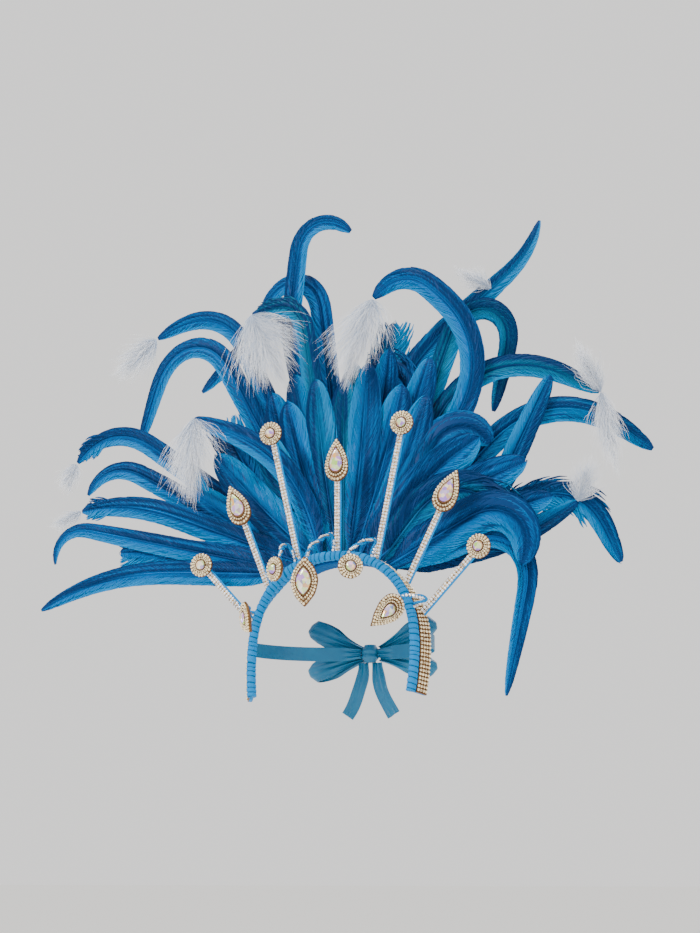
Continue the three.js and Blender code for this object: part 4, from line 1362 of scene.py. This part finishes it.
def make_tier(tier, seed, sizes, colours):
    """All feathers of a tier, and the stitched strip that binds their quills.

    The strip's section is a circle raised to the half power, pinched by a power of a cosine."""
    random = np.random.default_rng(seed)
    shell = Shell("share", "across", "tone", "dye")
    for place, feather in enumerate(FEATHERS[tier]):
        quill = Quill(feather)
        frayed = FRAYED.get(tier, {}).get(place, NOT_FRAYED)
        dye = random.uniform(*DYE_RANGE) * (LEFT_DYE if "left" in tier else 1.0)
        for side in (-1, 1):
            add_barbs(shell, feather, quill, side, dye, frayed, sizes, random)
        add_web(shell, feather, quill, dye)
        add_quill(shell, quill, dye)
    shell.build("feathers_" + tier, [feather_finish(colours)], "feather_blue", "plume_" + tier)

    roots = np.array([feather["root"] for feather in FEATHERS[tier]]) * ROOT_HALF_SPAN
    low = arch_place((roots.min() - BINDING_MARGIN) / ARCH_HALF_WIDTH)
    high = arch_place((roots.max() + BINDING_MARGIN) / ARCH_HALF_WIDTH)
    where, distance = arch_run(BINDING_STEP, low, high)
    point, across, up = pad_frame(where)
    rise = PAD_THICKNESS + SEAT_GAP + BINDING_HEIGHT / 2
    middle = point + up * rise + across * TIER_DEPTHS[tier]
    pinch = np.abs(np.cos(distance / BINDING_STITCH * np.pi)) ** 6
    pinch = (1 - BINDING_PINCH * pinch)[:, None, None]
    half = np.array([BINDING_THICKNESS, BINDING_HEIGHT]) / 2
    profile = squared(circle(BINDING_SIDES), 0.5) * half * pinch
    binding = Shell()
    binding.tubes(rings_of(middle, across, up, profile)[None])
    binding.build("binding_" + tier, [felt_finish(colours)], "ribbon_blue")


def make_puff(row, seed, sizes, colours):
    """A marabou puff: fine strands that leave a short shaft on all sides and fall away along it.

    A strand goes sideways as the 0.7 power of its own run and down as the run less a third of it,
    with a wave across it that grows towards its end."""
    name, tier, host, place, fall, toward, length, width = row
    random = np.random.default_rng(seed)
    quill = Quill(FEATHERS[tier][host])
    tip = quill.read(quill.points, place)
    fall, toward = np.radians(fall), np.radians(toward)
    along = direction(
        np.cos(toward) * np.sin(fall), -np.sin(toward), np.cos(toward) * np.cos(fall),
    )
    wide = unit(np.cross(BACKWARD, along))
    thick = np.cross(along, wide)
    reach = length * PUFF_LENGTH
    count = int(STRANDS_LEAST + STRANDS_MORE * length * width)
    start = random.random(count) ** 1.2 * SHAFT_SHARE
    run = STRAND_LEAST + STRAND_MORE * random.random(count)
    run = run * np.minimum(1, (1.08 - start) / 0.5)
    azimuth = random.uniform(0, 2 * np.pi, count)
    stray = random.random(count) ** 0.7
    spread = 0.25 + 0.75 * stray + STRAY_STEP * (random.random(count) < STRAY_SHARE)
    swell = np.sin(np.pi * np.clip(0.16 + start + 0.4 * run, 0, 1)) ** 0.6
    aside = spread * np.cos(azimuth) * (width * PUFF_WIDTH * STRAND_SWELL * swell)
    depth = spread * np.sin(azimuth) * PUFF_THICKNESS * STRAND_DEPTH * (0.5 + start)
    t = np.linspace(0, 1, len(STRAND_WIDTHS))
    grow = t ** STRAND_LEAVING
    down = (start[:, None] + run[:, None] * (0.66 * t + 0.34 * t ** 2)) * reach
    phase = random.uniform(0, 2 * np.pi, (count, 2, 1))
    wave = STRAND_WAVE * t * np.sin(phase + t * random.uniform(*WAVE_TURNS, (count, 2, 1)))
    path = (
        tip + along * down[..., None]
        + wide * (aside[:, None] * grow + wave[:, 0])[..., None]
        + thick * (depth[:, None] * grow + wave[:, 1])[..., None]
    )
    tangent = unit(np.gradient(path, axis=1))
    across = unit(np.cross(tangent, thick + 0.3 * wide))
    profile = circle(3) * (sizes.strand_width / 2 * STRAND_WIDTHS)[:, None, None]
    shell = Shell("share", "tone")
    shell.tubes(
        rings_of(path, across, np.cross(tangent, across), profile), share=t[:, None],
        tone=random.random(count)[:, None, None],
    )
    core = np.linspace(0, SHAFT_SHARE, SHAFT_RINGS)[:, None]
    ring = circle(6) * (SHAFT_RADIUS * (1.1 - core))[..., None]
    shell.tubes(rings_of(tip + along * core * reach, wide, thick, ring)[None], share=0.3, tone=0.3)
    nodes = [] if name.startswith("wisp") else ["puff_" + name]
    shell.build("marabou_" + name, [marabou_finish(colours)], "marabou_white", *nodes)


def ribbon(shell, path, across, widths, full_width, folds, drawn=0.0):
    """A ribbon: a flat section along a path, folded into pleats where it is gathered.

    The pleats are a sine wave whose depth keeps the unfolded width: with f the full width over
    the gathered one, its slope is the root of twice f squared less one. The edges are drawn aside
    by the square of the way to them."""
    tangent = unit(np.gradient(path, axis=0))
    across = unit(across - tangent * (across * tangent).sum(-1, keepdims=True))
    up = np.cross(tangent, across)
    slope = np.sqrt(np.maximum(2 * ((full_width / widths) ** 2 - 1), 0))
    depth = slope * widths / (2 * np.pi * folds)
    b = np.linspace(-0.5, 0.5, RIBBON_SIDES)
    flat = widths[:, None] * b
    wave = depth[:, None] * np.sin(2 * np.pi * folds * b + PLEAT_START)
    inner = np.stack([flat, wave - RIBBON_THICKNESS / 2], -1)
    outer = np.stack([flat, wave + RIBBON_THICKNESS / 2], -1)
    profile = np.concatenate([inner, outer[:, ::-1]], 1)
    distance = travelled(path)
    sides = np.concatenate([b, b[::-1]])
    rings = rings_of(path, across, up, profile) + (2 * sides[:, None]) ** 2 * drawn
    shell.tubes(rings[None], share=distance[:, None], across=sides * full_width)
    return distance[-1]


def make_ties(colours):
    """Ties: each leaves the band near an end and runs round the back to the knot.

    Its path is a cosine sideways and a sine backwards of a turn that ends at the knot."""
    for name, side in (("left", -1), ("right", 1)):
        point, across, _ = band_frame(np.array(side * (1 - LEG_SHARE) * TIE_PLACE))
        start = point + across * (ROLL_RADIUS + BAND_WIDTH + SEAT_GAP + TIE_OFFSET)
        reach = abs(start[0])
        last = np.arccos((KNOT_WIDTH / 2 + SEAT_GAP) / reach)
        turn = np.linspace(0, last, TIE_STEPS)
        back = KNOT_BACK - LOOP_SET_BACK / 2 - start[1]
        y = start[1] + back * np.sin(turn) / np.sin(last)
        path = np.stack([side * reach * np.cos(turn), y, np.full(TIE_STEPS, TIE_HEIGHT)], -1)
        widths = RIBBON_WIDTH * (1 - TIE_GATHER * smoothstep(turn / last, 0.86, 1.0))
        shell = Shell("share", "across")
        length = ribbon(shell, path, UPWARD, widths, RIBBON_WIDTH, TIE_PLEATS)
        finishes = [satin_finish(colours)]
        piece = shell.build("tie_ribbon_" + name, finishes, "ribbon_blue", "tie_" + name)


def loop_path(side, spread, rise):
    """Line of one bow loop: out from the knot, round at its full length and back.

    It is the smooth curve through the points that its ways out and bulges give."""
    x = side * (KNOT_WIDTH / 2 + 3 * SEAT_GAP + LOOP_OUT * LOOP_LENGTH)
    y = KNOT_BACK + LOOP_SET_BACK + LOOP_BULGE * LOOP_PUFF
    z = TIE_HEIGHT + spread + rise * LOOP_OUT
    return spline(np.stack([x, y, z], -1), LOOP_STEPS)[0]


def make_bow(colours):
    """Bow of satin ribbon: two loops and a tail on each side of a crushed knot.

    A tail moves aside by the square of the way down it and waves as a sine of it."""
    loops = ((LOOP_SPREAD / 2, LOOP_UPPER_RISE), (-LOOP_SPREAD / 2, -LOOP_LOWER_FALL))
    finishes = [satin_finish(colours)]
    for name, side in (("left", -1), ("right", 1)):
        shell = Shell("share", "across")
        total = 0
        for spread, rise in loops:
            path = loop_path(side, spread, rise)
            out = (np.abs(path[:, 0]) - KNOT_WIDTH / 2) / LOOP_LENGTH
            widths = LOOP_RIBBON_WIDTH * (0.45 + 0.53 * smoothstep(out, 0, 0.7))
            drawn = -side * LOOP_ROUNDING * smoothstep(out, 0.3, 1)[:, None, None] * SIDEWAYS
            total += ribbon(shell, path, UPWARD, widths, LOOP_RIBBON_WIDTH, LOOP_PLEATS, drawn)
        piece = shell.build("bow_ribbon_" + name, finishes, "satin_teal", "bow_loops_" + name)
        shell = Shell("share", "across")
        share = np.linspace(0, 1, TAIL_STEPS)
        x = side * (RIBBON_WIDTH / 2 + SEAT_GAP + TAIL_SPREAD * share ** 2)
        y = KNOT_BACK + TAIL_WAVE * np.sin(share * TAIL_WAVE_TURN)
        z = TIE_HEIGHT - KNOT_HEIGHT / 2 - SEAT_GAP - TAIL_LENGTH * share
        widths = RIBBON_WIDTH * (0.98 - 0.3 * (1 - smoothstep(share, 0, 0.35)))
        path = np.stack([x, y, z], -1)
        length = ribbon(shell, path, SIDEWAYS, widths, RIBBON_WIDTH, TAIL_PLEATS)
        piece = shell.build("bow_end_" + name, finishes, "satin_teal", "bow_tail_" + name)


def make_knot(colours):
    """Knot: a barrel of crushed ribbon, with folds as a sum of two waves round it."""
    rows = np.linspace(-0.5, 0.5, KNOT_RINGS)[:, None]
    angle = 2 * np.pi * np.arange(KNOT_SIDES) / KNOT_SIDES
    swell = 1 - 0.3 * smoothstep(np.abs(rows), 0.2, 0.5)
    folds = KNOT_FOLD * np.sin(3 * rows * 2 * np.pi + 1.5 * np.sin(angle)) * np.cos(rows * np.pi)
    radius = (swell + folds - KNOT_SINK)[..., None]
    profile = radius * (around(angle) * (KNOT_WIDTH / 2, KNOT_DEPTH / 2))
    centre = np.array([0, KNOT_BACK, TIE_HEIGHT]) + rows * KNOT_HEIGHT * UPWARD
    shell = Shell("share", "across")
    rings = rings_of(centre, SIDEWAYS, BACKWARD, profile)
    shell.tubes(rings[None], share=rows * KNOT_HEIGHT)
    piece = shell.build("bow_knot_turn", [satin_finish(colours)], "satin_teal", "bow_knot")


def aimed(thing, place, gaze):
    """The lamp or camera stands at a place and looks along its gaze."""
    thing.location = place
    thing.rotation_euler = Vector(gaze).to_track_quat("-Z", "Y").to_euler()


def make_stage(colours):
    """Pale floor, soft lights and the camera at the photograph's angle."""
    mesh = bpy.data.meshes.new("floor")
    corners = [(-1, -1), (1, -1), (1, 1), (-1, 1)]
    corners = [(x * FLOOR_REACH, y * FLOOR_REACH, FLOOR_LEVEL) for x, y in corners]
    mesh.from_pydata(corners, [], [(0, 1, 2, 3)])
    mesh.materials.append(floor_finish(colours))
    floor = added("floor", mesh)

    middle = np.mean(CAD_BOX, axis=0)
    for name, (place, width, power) in LAMPS.items():
        lamp = bpy.data.lights.new(name, "AREA")
        lamp.size = width
        lamp.energy = power
        aimed(added(name, lamp), place, middle - place)

    world = bpy.data.worlds.new("studio")
    world.use_nodes = True
    background = world.node_tree.nodes["Background"]
    background.inputs["Color"].default_value = WORLD_COLOUR
    background.inputs["Strength"].default_value = WORLD_STRENGTH
    bpy.context.scene.world = world

    azimuth, elevation = np.radians(CAMERA_AZIMUTH), np.radians(CAMERA_ELEVATION)
    forward, rise = np.cos(elevation), np.sin(elevation)
    away = np.array([np.sin(azimuth) * forward, -np.cos(azimuth) * forward, rise])
    sideways = np.array([np.cos(azimuth), np.sin(azimuth), 0])
    aim = middle + sideways * CAMERA_ASIDE - UPWARD * CAMERA_DOWN
    camera = bpy.data.cameras.new("camera")
    camera.lens = CAMERA_LENS
    camera.sensor_width = CAMERA_SENSOR
    bpy.context.scene.camera = added("camera", camera)
    aimed(bpy.context.scene.camera, aim + away * CAMERA_DISTANCE, -away)


def settings(context):
    """The sizes and the colours that the user has set."""
    return context.scene.headdress_sizes, context.scene.headdress_colours


class HEADDRESS_OT_stage(bpy.types.Operator):
    """Add the floor, the lights and the camera."""

    bl_idname = "headdress.stage"
    bl_label = "Stage"

    def execute(self, context):
        make_stage(settings(context)[1])
        return {"FINISHED"}


class HEADDRESS_OT_arch(bpy.types.Operator):
    """Wind the ribbon round the arch and sew the rhinestone trim to its band."""

    bl_idname = "headdress.arch"
    bl_label = "Arch and trim"

    def execute(self, context):
        sizes, colours = settings(context)
        make_arch(sizes, colours)
        make_trim(sizes, colours)
        return {"FINISHED"}


class HEADDRESS_OT_stalks(bpy.types.Operator):
    """Set the seven rhinestone stalks and their jewels."""

    bl_idname = "headdress.stalks"
    bl_label = "Stalks"

    def execute(self, context):
        sizes, colours = settings(context)
        for i, row in enumerate(STALKS):
            make_stalk(row, sizes, colours, STALK_SEED + SEED_STEP * i)
        return {"FINISHED"}


class HEADDRESS_OT_forehead(bpy.types.Operator):
    """Hang the five forehead jewels on their goose-neck arms."""

    bl_idname = "headdress.forehead"
    bl_label = "Forehead jewels"

    def execute(self, context):
        _, colours = settings(context)
        for i, row in enumerate(FOREHEAD):
            make_forehead(row, colours, FOREHEAD_SEED + SEED_STEP * i)
        return {"FINISHED"}


class HEADDRESS_OT_feathers(bpy.types.Operator):
    """Bind the tiers of feathers on their pad."""

    bl_idname = "headdress.feathers"
    bl_label = "Feathers"

    def execute(self, context):
        sizes, colours = settings(context)
        make_pad(colours)
        for i, tier in enumerate(TIER_DEPTHS):
            make_tier(tier, FEATHER_SEED + i, sizes, colours)
        return {"FINISHED"}


class HEADDRESS_OT_marabou(bpy.types.Operator):
    """Tie the marabou puffs to the feather tips."""

    bl_idname = "headdress.marabou"
    bl_label = "Marabou"

    def execute(self, context):
        sizes, colours = settings(context)
        for i, row in enumerate(PUFFS):
            make_puff(row, MARABOU_SEED + i, sizes, colours)
        return {"FINISHED"}


class HEADDRESS_OT_bow(bpy.types.Operator):
    """Tie the ribbons and the bow at the back."""

    bl_idname = "headdress.bow"
    bl_label = "Ties and bow"

    def execute(self, context):
        _, colours = settings(context)
        make_ties(colours)
        make_knot(colours)
        make_bow(colours)
        return {"FINISHED"}


OPERATORS = (
    HEADDRESS_OT_stage,
    HEADDRESS_OT_arch,
    HEADDRESS_OT_stalks,
    HEADDRESS_OT_forehead,
    HEADDRESS_OT_feathers,
    HEADDRESS_OT_marabou,
    HEADDRESS_OT_bow,
)


class HEADDRESS_PT_panel(bpy.types.Panel):
    """Buttons for each group of pieces, with the sizes and colours."""

    bl_idname = "HEADDRESS_PT_panel"
    bl_label = "Headdress"
    bl_space_type = "VIEW_3D"
    bl_region_type = "UI"
    bl_category = "Headdress"

    def draw(self, context):
        """One button for each operator, then the sizes and colours."""
        for operator in OPERATORS:
            self.layout.operator(operator.bl_idname)
        for group in settings(context):
            for name in group.__annotations__:
                self.layout.prop(group, name)


CLASSES = (HeaddressSizes, HeaddressColours, *OPERATORS, HEADDRESS_PT_panel)


def register():
    """Add the classes and the two groups of settings."""
    for part in CLASSES:
        bpy.utils.register_class(part)
    bpy.types.Scene.headdress_sizes = bpy.props.PointerProperty(type=HeaddressSizes)
    bpy.types.Scene.headdress_colours = bpy.props.PointerProperty(type=HeaddressColours)


def unregister():
    """Take away what register added."""
    del bpy.types.Scene.headdress_sizes
    del bpy.types.Scene.headdress_colours
    for part in reversed(CLASSES):
        bpy.utils.unregister_class(part)


def main():
    """Build everything in order."""
    register()
    for operator in OPERATORS:
        group, name = operator.bl_idname.split(".")
        getattr(getattr(bpy.ops, group), name)()


if __name__ == "__main__":
    main()
